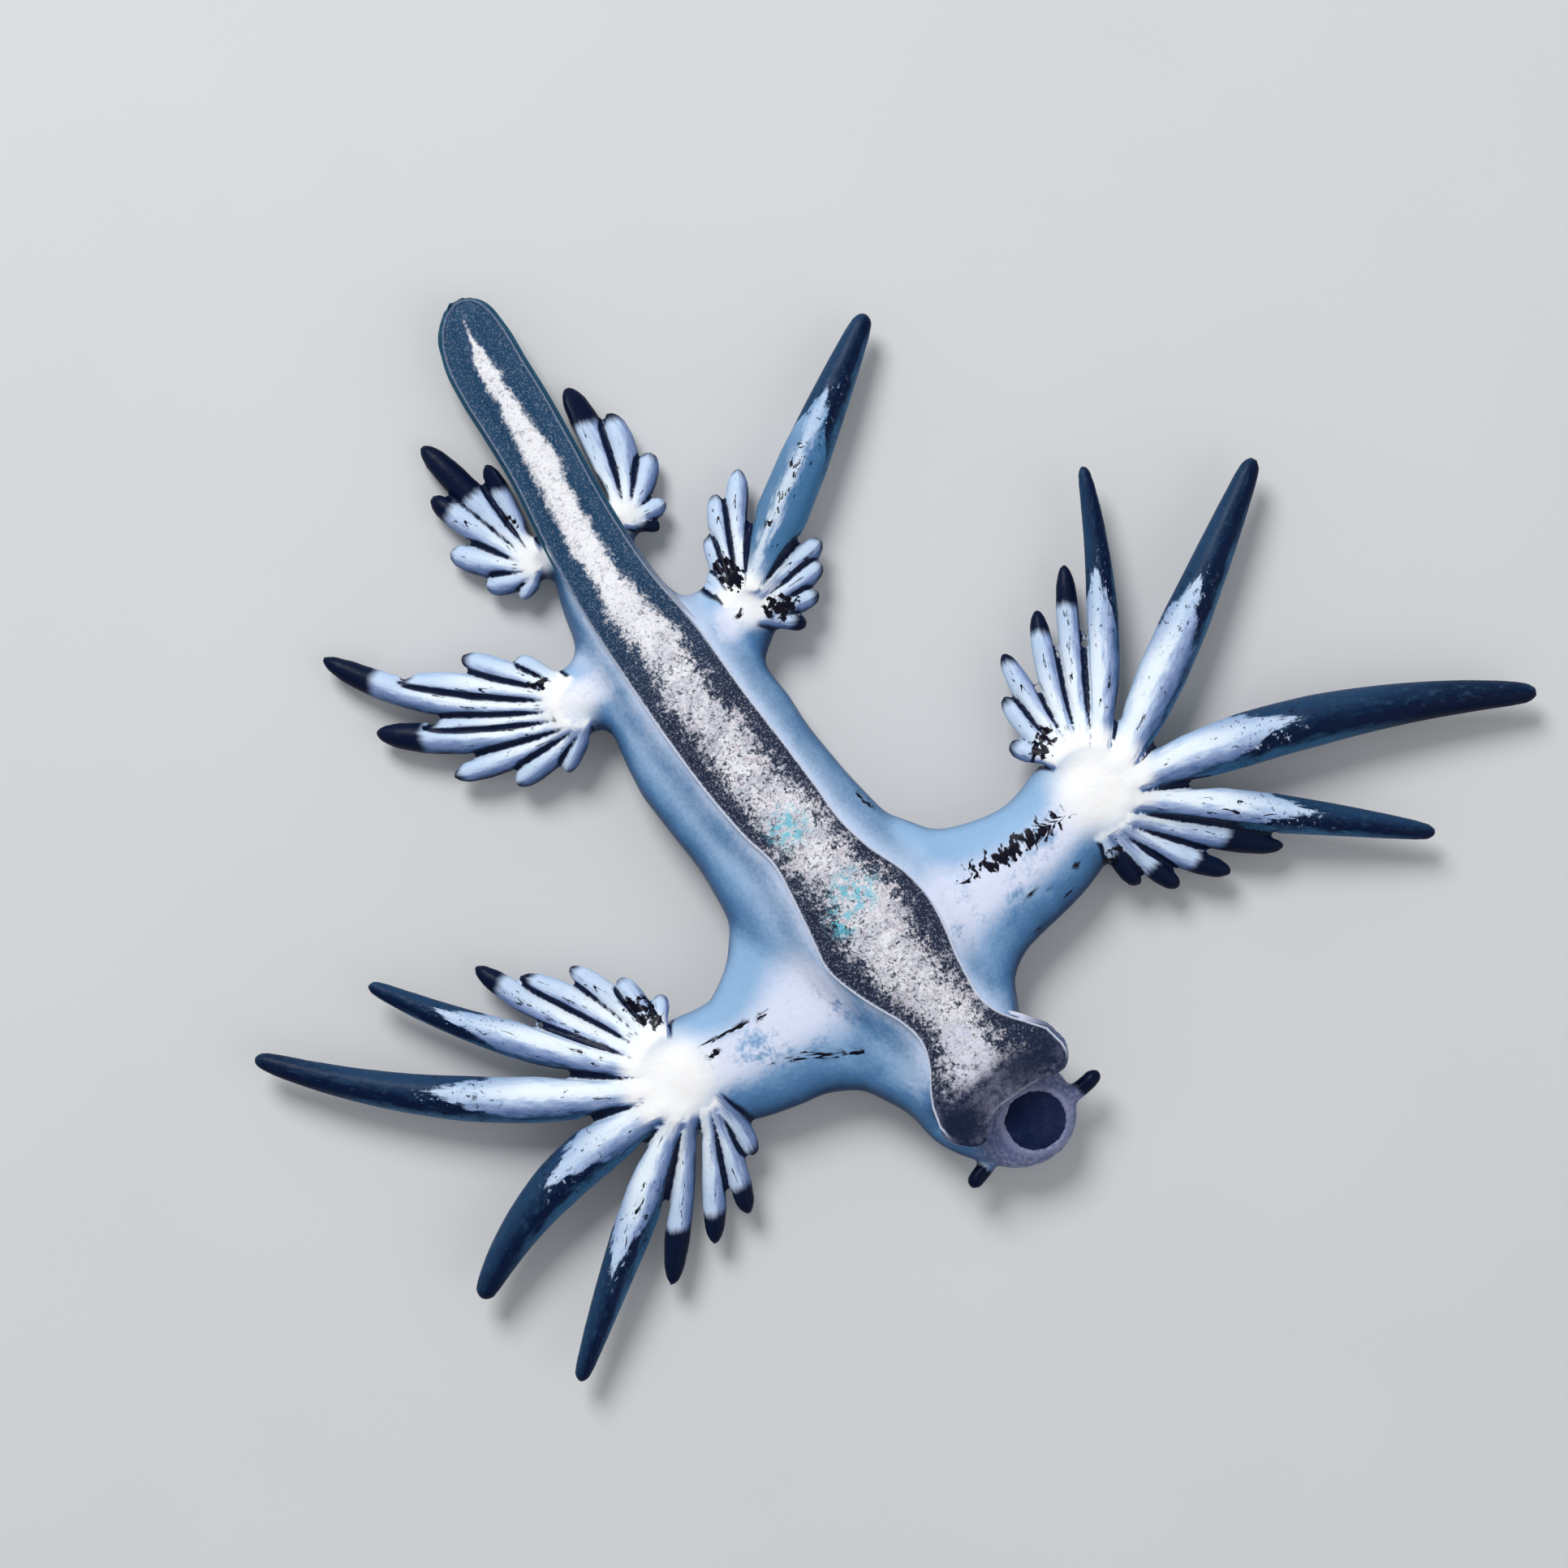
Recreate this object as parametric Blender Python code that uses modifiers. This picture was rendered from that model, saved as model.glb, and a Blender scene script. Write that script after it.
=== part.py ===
"""Blue dragon sea slug (Glaucus atlanticus), life size, as a still model.

The slug lies on its back, as it floats in life, so its foot faces up. Metres, +Z up.
The head points along -Y, the tail along +Y, and the slug's own right side is +X.
The origin is on the flat under the middle of the trunk. Sizes below are in millimetres
and angles in degrees. A heading is measured from +X towards +Y.
"""

import math
import random

import bmesh
import bpy
import numpy as np
from mathutils import Matrix, Vector

MM = 0.001
GAP = 0.3  # between one node and the next
FLOOR = 0.0
WELD = 0.002  # points nearer than this after a union are one

TRUNK_SIDES = 20
ARM_SIDES = 18
LONG_SIDES = 10
SHORT_SIDES = 8
FEELER_SIDES = 10

TRUNK_POWER = 2.4  # of the superellipse that the trunk's section follows
RING_STEP = 1.1  # between rings along the trunk and the arms
FEELER_STEP = 0.6
NEAREST_RING = 0.2  # no ring lies nearer than this to the one before, but for a tip's
SHARP = 50.0  # edges that turn more than this stay sharp

# Distances back from a tip at which the last rings lie, so that it is round.
ARM_CLOSING = (1.6, 1.0, 0.5, 0.15, 0.0)
TAIL_CLOSING = (1.2, 0.6, 0.2, 0.0)
BROW_CLOSING = (1.4, 0.8, 0.3, 0.0)
FEELER_CLOSING = (0.3, 0.08, 0.0)
SOLE_CLOSING = (1.4, 0.8, 0.35, 0.1, 0.0)

# Rows along the trunk under the foot, from the brow to the tail tip:
# place along Y, centre in X, half width, underside, upper face.
TRUNK = (
    (-16.95, 1.05, 0.45, 1.50, 1.95),
    (-16.70, 1.00, 1.10, 1.30, 2.20),
    (-16.20, 0.95, 1.70, 1.18, 2.40),
    (-15.60, 0.85, 2.15, 1.15, 2.55),
    (-14.80, 0.60, 2.50, 1.15, 2.75),
    (-13.80, 0.30, 2.75, 1.10, 2.95),
    (-12.40, 0.10, 2.75, 0.82, 3.15),
    (-11.00, 0.10, 3.45, 0.15, 3.30),
    (-9.00, 0.05, 3.60, -0.12, 3.45),
    (-7.00, 0.00, 3.70, -0.15, 3.55),
    (-4.00, -0.30, 3.75, -0.15, 3.60),
    (-2.00, -0.35, 3.65, -0.15, 3.60),
    (0.00, -0.42, 3.42, -0.15, 3.50),
    (2.00, -0.55, 3.38, -0.15, 3.40),
    (4.00, -0.55, 3.42, -0.15, 3.30),
    (6.00, -0.50, 3.10, -0.15, 3.15),
    (8.00, -0.60, 2.40, -0.15, 2.90),
    (10.00, -0.65, 2.10, -0.15, 2.60),
    (12.00, -0.49, 1.67, -0.12, 2.25),
    (13.20, -0.20, 1.28, -0.10, 2.05),
    (14.50, -0.02, 1.12, -0.08, 1.88),
    (16.00, 0.15, 1.05, -0.05, 1.70),
    (18.00, 0.40, 1.05, 0.00, 1.45),
    (20.00, 0.50, 1.00, 0.05, 1.25),
    (22.00, 0.75, 0.80, 0.15, 1.05),
    (22.80, 0.90, 0.50, 0.25, 0.95),
    (23.10, 1.00, 0.25, 0.40, 0.80),
)
HEAD_END = -11.15
TRUNK_CUTS = (-0.85, 4.55, 10.75, 15.35)  # centre of each thin cut behind the head

# Rows along the sole: place along Y, left edge, right edge.
SOLE = (
    (-12.60, -1.70, 3.65),
    (-12.00, -1.40, 3.20),
    (-11.20, -0.90, 2.60),
    (-10.30, -0.62, 2.25),
    (-9.20, -0.80, 2.30),
    (-8.20, -1.25, 2.45),
    (-7.20, -1.65, 2.68),
    (-6.00, -1.95, 2.82),
    (-4.60, -1.75, 2.65),
    (-3.00, -1.49, 2.06),
    (-1.50, -1.34, 1.76),
    (0.00, -1.64, 1.74),
    (1.50, -1.81, 1.70),
    (4.50, -1.93, 1.56),
    (7.50, -1.90, 1.51),
    (10.50, -1.80, 1.22),
    (13.50, -1.47, 1.30),
    (16.50, -1.04, 1.61),
    (18.50, -0.92, 1.80),
    (20.00, -0.85, 1.88),
    (21.50, -0.60, 1.98),
    (22.30, -0.25, 1.92),
    (22.80, 0.15, 1.75),
    (23.10, 0.55, 1.50),
    (23.24, 0.90, 1.20),
)
# The sole's front edge, from its left side round the two lobes to its right side.
SOLE_FRONT = (
    (-1.90, -13.40),
    (-1.75, -14.15),
    (-1.25, -14.72),
    (-0.72, -14.80),
    (-0.25, -14.35),
    (0.20, -13.60),
    (1.00, -13.45),
    (1.90, -13.50),
    (2.60, -14.02),
    (3.30, -14.25),
    (3.72, -13.85),
    (3.80, -13.40),
)
SOLE_THICK = 0.6
SOLE_TAIL_THICK = 0.5
SOLE_COLUMNS = 11
SOLE_CUTS = (-4.15, 4.55, 13.95)
LOBE_ROWS = 4
SOLE_REACH = 0.75  # share of the trunk's half width over which the sole follows it

# Rows along each arm, from inside the trunk to its round end:
# centre in X and Y, half width, underside, upper face.
ARM_FRONT_RIGHT = (
    (0.50, -7.00, 3.80, 0.35, 3.05),
    (2.60, -7.00, 3.80, 0.35, 3.05),
    (3.40, -7.02, 3.75, 0.35, 3.05),
    (4.00, -7.05, 3.50, 0.35, 3.03),
    (4.70, -7.08, 2.94, 0.40, 3.00),
    (5.60, -7.12, 2.60, 0.40, 2.95),
    (6.60, -7.14, 2.40, 0.35, 2.92),
    (7.50, -7.06, 2.28, 0.25, 2.90),
    (8.60, -6.78, 2.18, 0.05, 2.90),
    (9.70, -6.45, 2.20, -0.12, 2.90),
    (10.90, -6.25, 2.05, -0.12, 2.80),
    (11.70, -6.20, 1.60, 0.10, 2.60),
    (12.20, -6.20, 0.95, 0.55, 2.20),
    (12.40, -6.20, 0.35, 1.10, 1.75),
)
ARM_FRONT_LEFT = (
    (-0.50, -6.76, 4.00, 0.35, 3.05),
    (-2.60, -6.79, 4.00, 0.35, 3.05),
    (-3.50, -6.82, 3.97, 0.35, 3.05),
    (-4.20, -6.86, 3.68, 0.35, 3.03),
    (-5.00, -6.92, 3.15, 0.40, 3.00),
    (-5.80, -6.95, 2.80, 0.40, 2.97),
    (-6.70, -6.88, 2.54, 0.30, 2.93),
    (-7.60, -6.62, 2.32, 0.15, 2.90),
    (-8.70, -6.26, 2.15, -0.12, 2.90),
    (-9.60, -6.15, 1.95, -0.12, 2.80),
    (-10.30, -6.10, 1.40, 0.10, 2.60),
    (-10.70, -6.10, 0.85, 0.55, 2.20),
    (-10.88, -6.10, 0.35, 1.10, 1.75),
)
ARM_MIDDLE_LEFT = (
    (-1.00, 7.60, 2.50, 0.20, 2.55),
    (-2.60, 7.80, 2.00, 0.10, 2.50),
    (-3.50, 7.90, 1.45, -0.12, 2.45),
    (-4.30, 8.00, 1.20, -0.12, 2.35),
    (-4.80, 8.05, 0.80, 0.20, 2.05),
    (-5.02, 8.07, 0.35, 0.75, 1.55),
)
ARM_MIDDLE_RIGHT = (
    (0.40, 6.90, 1.90, 0.20, 2.55),
    (1.70, 6.92, 1.98, 0.10, 2.45),
    (2.90, 7.05, 1.60, -0.12, 2.40),
    (3.80, 7.20, 1.18, -0.12, 2.30),
    (4.25, 7.30, 0.80, 0.20, 2.00),
    (4.48, 7.33, 0.35, 0.75, 1.50),
)
ARM_REAR_LEFT = (
    (-0.40, 12.95, 1.10, 0.15, 1.60),
    (-1.30, 13.15, 0.91, 0.10, 1.55),
    (-1.95, 13.30, 0.75, -0.08, 1.50),
    (-2.35, 13.35, 0.55, 0.15, 1.30),
    (-2.52, 13.38, 0.25, 0.45, 1.00),
)
ARM_REAR_RIGHT = (
    (-0.10, 12.40, 1.10, 0.15, 1.60),
    (0.80, 12.58, 0.93, 0.10, 1.55),
    (1.45, 12.70, 0.76, -0.08, 1.50),
    (1.80, 12.75, 0.50, 0.15, 1.30),
    (1.96, 12.78, 0.25, 0.45, 1.00),
)

# Cerata round each arm's end, in order: place on the rim, heading at the root,
# heading at the tip, length, full width.
CERATA_FRONT_RIGHT = (
    (110, 130, 114, 1.5, 0.78),
    (102, 100, 89, 2.8, 0.80),
    (88, 92, 82, 4.15, 0.82),
    (78, 75, 62, 5.2, 0.84),
    (68, 62, 59, 6.7, 0.88),
    (45, 50, 67, 10.5, 1.22),
    (12, 30, 33, 12.3, 1.80),
    (-21, -12, -34, 15.7, 1.95),
    (-48, -39, -43, 11.4, 1.50),
    (-70, -46, -43, 5.9, 0.98),
    (-83, -64, -49, 4.4, 0.88),
    (-94, -79, -69, 3.1, 0.82),
    (-107, -92, -82, 2.1, 0.78),
)
CERATA_FRONT_LEFT = (
    (76, 60, 60, 1.2, 0.70),
    (88, 80, 100, 2.4, 0.82),
    (98, 94, 114, 3.95, 0.88),
    (107, 108, 127, 5.3, 0.92),
    (113, 127, 109, 7.0, 0.98),
    (136, 136, 120, 10.6, 1.36),
    (166, 153, 127, 14.8, 1.70),
    (197, 174, 212, 9.8, 1.90),
    (227, 213, 217, 10.6, 1.48),
    (248, 229, 229, 6.3, 0.94),
    (264, 240, 234, 5.0, 0.88),
    (277, 256, 249, 4.2, 0.86),
    (287, 280, 254, 2.35, 0.78),
)
CERATA_MIDDLE_LEFT = (
    (98, 112, 126, 1.9, 0.80),
    (114, 130, 124, 3.8, 0.95),
    (132, 139, 141, 5.9, 1.05),
    (154, 150, 116, 9.2, 1.05),
    (176, 153, 147, 5.0, 0.90),
    (200, 158, 136, 7.3, 1.15),
    (220, 172, 161, 4.9, 0.95),
    (236, 189, 181, 3.2, 0.95),
    (250, 212, 208, 1.8, 0.78),
)
CERATA_MIDDLE_RIGHT = (
    (114, 95, 99, 1.2, 0.72),
    (100, 80, 72, 2.3, 0.80),
    (85, 71, 64, 3.7, 0.90),
    (68, 62, 52, 4.5, 0.92),
    (42, 33, 32, 11.3, 1.90),
    (10, 9, 7, 2.9, 0.95),
    (-16, 0, 4, 2.4, 0.90),
    (-40, -20, -4, 1.9, 0.78),
    (-62, -48, -25, 1.4, 0.70),
)
CERATA_REAR_LEFT = (
    (100, 86, 81, 3.6, 0.80),
    (126, 98, 101, 5.8, 1.02),
    (153, 112, 110, 4.4, 1.02),
    (179, 143, 122, 3.1, 1.02),
    (203, 170, 148, 1.9, 0.90),
    (217, 204, 206, 1.1, 0.70),
)
CERATA_REAR_RIGHT = (
    (62, 71, 88, 5.1, 1.05),
    (33, 50, 84, 3.8, 1.08),
    (11, 28, 50, 2.4, 0.95),
    (-20, -14, 8, 1.3, 0.80),
    (-44, -48, -48, 1.1, 0.68),
)

# Each arm: its rows, where its stem starts and ends along them (the same where it has none),
# the centre and radius of the ring that its cerata grow from, and its cerata.
ARMS = {
    "front_right": (ARM_FRONT_RIGHT, 4.5, 7.7, (10.30, -6.20, 1.40), 2.10, CERATA_FRONT_RIGHT),
    "front_left": (ARM_FRONT_LEFT, 4.4, 6.50, (-8.90, -6.10, 1.40), 2.00, CERATA_FRONT_LEFT),
    "middle_left": (ARM_MIDDLE_LEFT, 2.25, 2.25, (-3.95, 7.90, 1.20), 1.10, CERATA_MIDDLE_LEFT),
    "middle_right": (ARM_MIDDLE_RIGHT, 2.05, 2.05, (3.50, 7.10, 1.20), 1.00, CERATA_MIDDLE_RIGHT),
    "rear_left": (ARM_REAR_LEFT, 1.27, 1.27, (-1.90, 13.30, 0.78), 0.70, CERATA_REAR_LEFT),
    "rear_right": (ARM_REAR_RIGHT, 1.28, 1.28, (1.40, 12.70, 0.78), 0.62, CERATA_REAR_RIGHT),
}
LONG_FROM = 9.5  # a ceras this long or longer is a node of its own
JOINED = (("front_right", 9),)  # long ones that touch the next, so they stay on the arm's end
ROOT_DEPTH = 0.42  # share of the rim's radius that a root is sunk into the arm's end
LONG_STUB = 2.0  # length of a long ceras that stays on the arm's end
LONG_ABOVE = 0.30  # height of the long ones over the arm's mid height
SHORT_BELOW = 0.12
SAG = (0.006, 0.03)  # fall of a ceras for each millimetre of its length, at least and at most
SAG_SEED = 11
STRAIGHT = 1e-6  # a ceras that turns less than this, in radians a millimetre, is straight

# Share of the length, share of the full width.
LONG_SHAPE = ((-0.2, 0.58), (0.0, 0.64), (0.12, 0.88), (0.26, 1.0), (0.45, 0.96), (0.65, 0.79),
              (0.82, 0.62), (0.93, 0.48), (0.975, 0.38), (0.992, 0.26), (1.0, 0.12))
SHORT_SHAPE = ((-0.8, 0.55), (0.0, 0.62), (0.25, 0.86), (0.5, 1.0), (0.7, 0.93), (0.86, 0.68),
               (0.96, 0.38), (1.0, 0.14))
LONG_RINGS = (0.1, 0.22, 0.36, 0.5, 0.64, 0.78, 0.9, 0.965, 0.99, 1.0)
SHORT_RINGS = (0.0, 0.28, 0.56, 0.8, 0.95, 1.0)
LONG_FLATNESS = 0.85
SHORT_FLATNESS = 0.9

MOUTH = (1.27, -15.38, 2.62)
MOUTH_TILT = 12.0  # the disc faces a little forwards
MOUTH_PIT = 1.18
MOUTH_PIT_DEEP = 0.75
MOUTH_DISC = 0.88
MOUTH_DISC_THICK = 0.55
LIP_RING = 1.34
LIP_THICK = 0.2
LIP_DEPTH = 0.12
LIP_SIDES = 6
MOUTH_SIDES = 24

# Rows along each feeler: centre in X, Y and Z, radius. The first ones lie in the head.
ORAL_TENTACLE_RIGHT = ((2.00, -15.45, 1.80, 0.34), (3.00, -15.42, 1.85, 0.34), (3.70, -15.36, 1.90, 0.32),
                       (4.20, -15.28, 1.95, 0.20), (4.32, -15.26, 1.95, 0.08))
ORAL_TENTACLE_LEFT = ((-0.30, -15.25, 1.75, 0.34), (-1.15, -15.72, 1.80, 0.34), (-1.75, -15.92, 1.85, 0.32),
                      (-2.15, -16.03, 1.90, 0.20), (-2.25, -16.06, 1.90, 0.08))
RHINOPHORE_LEFT = ((-0.90, -12.50, 1.60, 0.28), (-1.05, -12.75, 0.92, 0.28), (-1.20, -13.05, 0.46, 0.28),
                   (-1.40, -13.60, 0.32, 0.26), (-1.55, -14.00, 0.30, 0.18), (-1.60, -14.12, 0.30, 0.08))
RHINOPHORE_RIGHT = ((1.90, -12.50, 1.60, 0.28), (2.05, -12.75, 0.92, 0.28), (2.20, -13.05, 0.46, 0.28),
                    (2.40, -13.60, 0.32, 0.26), (2.55, -14.00, 0.30, 0.18), (2.60, -14.12, 0.30, 0.08))
ORAL_STUB = 1.13
RHINOPHORE_STUB = 0.78

# Colour and roughness of each kind of part.
TRUNK_BLUE = ((0.28, 0.43, 0.63), 0.35)
HUB_WHITE = ((0.80, 0.85, 0.93), 0.35)
CERAS_BLUE = ((0.05, 0.14, 0.30), 0.30)
SOLE_SILVER = ((0.36, 0.36, 0.42), 0.30)
HEAD_LAVENDER = ((0.20, 0.20, 0.33), 0.35)
MOUTH_NAVY = ((0.02, 0.02, 0.06), 0.30)
FEELER_NAVY = ((0.04, 0.05, 0.10), 0.35)


def clear_scene():
    for obj in list(bpy.data.objects):
        bpy.data.objects.remove(obj, do_unlink=True)


def new_collection(name):
    collection = bpy.data.collections.new(name)
    bpy.context.scene.collection.children.link(collection)
    return collection


def paint(obj, finish):
    """Gives the object a material of its own, from a colour and a roughness."""
    colour, roughness = finish
    material = bpy.data.materials.new(obj.name)
    material.use_nodes = True
    shader = material.node_tree.nodes["Principled BSDF"]
    shader.inputs["Base Color"].default_value = (*colour, 1.0)
    shader.inputs["Roughness"].default_value = roughness
    shader.inputs["Metallic"].default_value = 0.0
    obj.data.materials.clear()
    obj.data.materials.append(material)


def add_object(name, bm, collection):
    mesh = bpy.data.meshes.new(name)
    bm.to_mesh(mesh)
    bm.free()
    obj = bpy.data.objects.new(name, mesh)
    collection.objects.link(obj)
    return obj


def eased(rows, at):
    """The row at a place, on cubics through the rows, which rise along their first column."""
    rows = np.array(rows)
    if rows[0, 0] > rows[-1, 0]:
        rows = rows[::-1]
    places, values = rows[:, 0], rows[:, 1:]
    at = min(max(at, places[0]), places[-1])
    i = min(int(np.searchsorted(places, at, side="right")) - 1, len(places) - 2)
    span = places[i + 1] - places[i]
    slopes = np.gradient(values, places, axis=0)
    t = (at - places[i]) / span
    return (
        (2 * t**3 - 3 * t**2 + 1) * values[i]
        + (t**3 - 2 * t**2 + t) * span * slopes[i]
        + (3 * t**2 - 2 * t**3) * values[i + 1]
        + (t**3 - t**2) * span * slopes[i + 1]
    )


def section(centre, along, half_width, half_height):
    """The matrix that carries a unit ring to its place across a path, in metres."""
    along = Vector(along).normalized()
    side = along.cross(Vector((0, 0, 1))).normalized()
    up = side.cross(along)
    columns = (side * half_width, up * half_height, along, Vector(centre))
    matrix = Matrix([[*row] for row in zip(*columns)]).to_4x4()
    matrix.col[3] = (*Vector(centre), 1.0)
    return Matrix.Scale(MM, 4) @ matrix


def sweep(name, sections, sides, collection, power=2.0):
    """A closed tube: one ring extruded from section to section, then capped."""
    bm = bmesh.new()
    bmesh.ops.create_circle(bm, segments=sides, radius=1.0)
    half_side = Matrix.Rotation(math.pi / sides, 4, "Z")
    bmesh.ops.transform(bm, matrix=half_side, verts=bm.verts)
    for vert in bm.verts:
        for axis in (0, 1):
            vert.co[axis] = math.copysign(abs(vert.co[axis]) ** (2 / power), vert.co[axis])
    bmesh.ops.transform(bm, matrix=sections[0], verts=bm.verts)
    ring = bm.edges[:]
    for before, after in zip(sections, sections[1:]):
        made = bmesh.ops.extrude_edge_only(bm, edges=ring)["geom"]
        ring = [item for item in made if isinstance(item, bmesh.types.BMEdge)]
        verts = [item for item in made if isinstance(item, bmesh.types.BMVert)]
        bmesh.ops.transform(bm, matrix=after @ before.inverted(), verts=verts)
    bmesh.ops.holes_fill(bm, edges=bm.edges)
    for vert in bm.verts:
        vert.co.z = max(vert.co.z, FLOOR)
    bmesh.ops.recalc_face_normals(bm, faces=bm.faces)
    return add_object(name, bm, collection)


def keep_largest(bm):
    """Deletes every closed surface but the one with the most volume round it."""
    left = set(bm.faces)
    shells = []
    while left:
        shell, front = set(), [left.pop()]
        while front:
            face = front.pop()
            shell.add(face)
            near = {other for edge in face.edges for other in edge.link_faces} & left
            left -= near
            front.extend(near)
        shells.append(shell)

    def volume(shell):
        return abs(sum(face.calc_center_median().dot(face.normal) * face.calc_area() for face in shell))

    shells.sort(key=volume)
    stray = [face for shell in shells[:-1] for face in shell]
    bmesh.ops.delete(bm, geom=stray, context="FACES")


def tidy_surface(obj):
    """Welds a union's smallest edges, splits its faces into triangles and drops loose scraps."""
    bm = bmesh.new()
    bm.from_mesh(obj.data)
    bmesh.ops.remove_doubles(bm, verts=bm.verts, dist=WELD * MM)
    bmesh.ops.dissolve_degenerate(bm, edges=bm.edges, dist=WELD * MM)
    bmesh.ops.triangulate(bm, faces=bm.faces)
    keep_largest(bm)
    bm.to_mesh(obj.data)
    bm.free()


def combine(obj, others, operation):
    """Applies one Boolean of the object with closed meshes, which are then removed."""
    tools = new_collection(obj.name + "_tools")
    for other in others:
        other.hide_render = True
        other.display_type = "WIRE"
        for owner in list(other.users_collection):
            owner.objects.unlink(other)
        tools.objects.link(other)
    modifier = obj.modifiers.new(operation.lower(), "BOOLEAN")
    modifier.operation = operation
    modifier.operand_type = "COLLECTION"
    modifier.collection = tools
    evaluated = obj.evaluated_get(bpy.context.evaluated_depsgraph_get())
    joined = bpy.data.meshes.new_from_object(evaluated)
    obj.modifiers.clear()
    obj.data = joined
    for other in others:
        bpy.data.objects.remove(other, do_unlink=True)
    bpy.data.collections.remove(tools)


def fuse(obj, others):
    combine(obj, others, "UNION")
    tidy_surface(obj)


def shade(obj):
    obj.data.shade_smooth()
    obj.data.set_sharp_from_angle(angle=math.radians(SHARP))


def places(start, stop, step=RING_STEP):
    """Even places from start to stop, about a step apart."""
    count = max(2, round(abs(stop - start) / step) + 1)
    return list(np.linspace(start, stop, count))


def places_to_tip(start, tip, closing, step=RING_STEP):
    """Even places from start, then closer ones at distances back from the tip."""
    room = abs(tip - start)
    even = places(0.0, room - closing[0], step) if room - closing[0] > NEAREST_RING else [0.0]
    close = [room - left for left in closing[1:] if room - left > even[-1] + NEAREST_RING]
    side = math.copysign(1.0, tip - start)
    return [start + side * distance for distance in even + close]


def trunk_section(y):
    x, half_width, low, high = eased(TRUNK, y)
    return section((x, y, (low + high) / 2), (0, 1, 0), half_width, (high - low) / 2)


def trunk_top(x, y):
    """Height of the trunk's upper face, level with its rim out to the lobes that overhang it."""
    middle, half_width, low, high = eased(TRUNK, y)
    across = min(abs(x - middle) / half_width, SOLE_REACH)
    rise = (1 - across**TRUNK_POWER) ** (1 / TRUNK_POWER)
    return (low + high) / 2 + (high - low) / 2 * rise


class Route:
    """A path through rows of centre and size, read by the distance from its start.

    The path keeps one direction across each cut, so that the two faces there are parallel.
    """

    def __init__(self, centres, sizes, cuts=()):
        self.cuts = cuts
        steps = np.linalg.norm(np.diff(np.array(centres), axis=0), axis=1)
        distance = np.concatenate([[0.0], np.cumsum(steps)])
        self.length = float(distance[-1])
        self.rows = np.column_stack([distance, centres, sizes])

    def section(self, s):
        x, y, z, half_width, half_height = eased(self.rows, s)
        facing = next((cut for cut in self.cuts if abs(s - cut) <= GAP), s)
        ahead = eased(self.rows, facing + GAP)[:3]
        behind = eased(self.rows, facing - GAP)[:3]
        return section((x, y, z), ahead - behind, half_width, half_height)

    def sections(self, distances):
        return [self.section(s) for s in distances]


def arm_route(rows, cuts):
    centres = [(x, y, (low + high) / 2) for x, y, half_width, low, high in rows]
    sizes = [(half_width, (high - low) / 2) for x, y, half_width, low, high in rows]
    return Route(centres, sizes, cuts)


def feeler_route(rows, cut):
    return Route([row[:3] for row in rows], [(row[3], row[3]) for row in rows], (cut,))


class Arm:
    """One arm: its route, where its stem starts and ends, and the cerata round its end."""

    def __init__(self, name, rows, stem_start, stem_end, hub, rim, cerata):
        self.name = name
        self.route = arm_route(rows, (stem_start + GAP / 2, stem_end + GAP / 2))
        self.stem_start = stem_start
        self.stem_end = stem_end
        self.hub = hub
        self.rim = rim
        self.cerata = cerata

    def stub(self, collection):
        """The arm's root, which is part of the trunk."""
        distances = places(0.0, self.stem_start)
        return sweep(self.name + "_stub", self.route.sections(distances), ARM_SIDES, collection)

    def stem(self, collection):
        distances = places(self.stem_start + GAP, self.stem_end)
        obj = sweep("arm_" + self.name, self.route.sections(distances), ARM_SIDES, collection)
        paint(obj, TRUNK_BLUE)

    def end(self, collection):
        """The round end of the arm."""
        distances = places_to_tip(self.stem_end + GAP, self.route.length, ARM_CLOSING)
        return sweep("fan_" + self.name, self.route.sections(distances), ARM_SIDES, collection)


def ceras_place(arm, row, s, lift, sag):
    """Centre and direction of a ceras at a distance from its root."""
    rim, first, last, length, _ = row
    rim, first, last = (math.radians(angle) for angle in (rim, first, last))
    x = arm.hub[0] + arm.rim * math.cos(rim)
    y = arm.hub[1] + arm.rim * math.sin(rim)
    turn = (last - first) / length
    beyond = max(s, 0.0)
    heading = first + turn * beyond
    if s < 0 or abs(turn) < STRAIGHT:
        x += s * math.cos(first)
        y += s * math.sin(first)
    else:
        x += (math.sin(heading) - math.sin(first)) / turn
        y -= (math.cos(heading) - math.cos(first)) / turn
    z = arm.hub[2] + lift - sag * beyond**2 / length
    slope = -2 * sag * beyond / length
    return (x, y, z), (math.cos(heading), math.sin(heading), slope)


def ceras_sections(arm, row, distances, lift, sag, shape, flatness):
    length, width = row[3:]
    found = []
    for s in distances:
        centre, along = ceras_place(arm, row, s, lift, sag)
        half_width = float(np.interp(s / length, *zip(*shape))) * width / 2
        found.append(section(centre, along, half_width, half_width * flatness))
    return found


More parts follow.
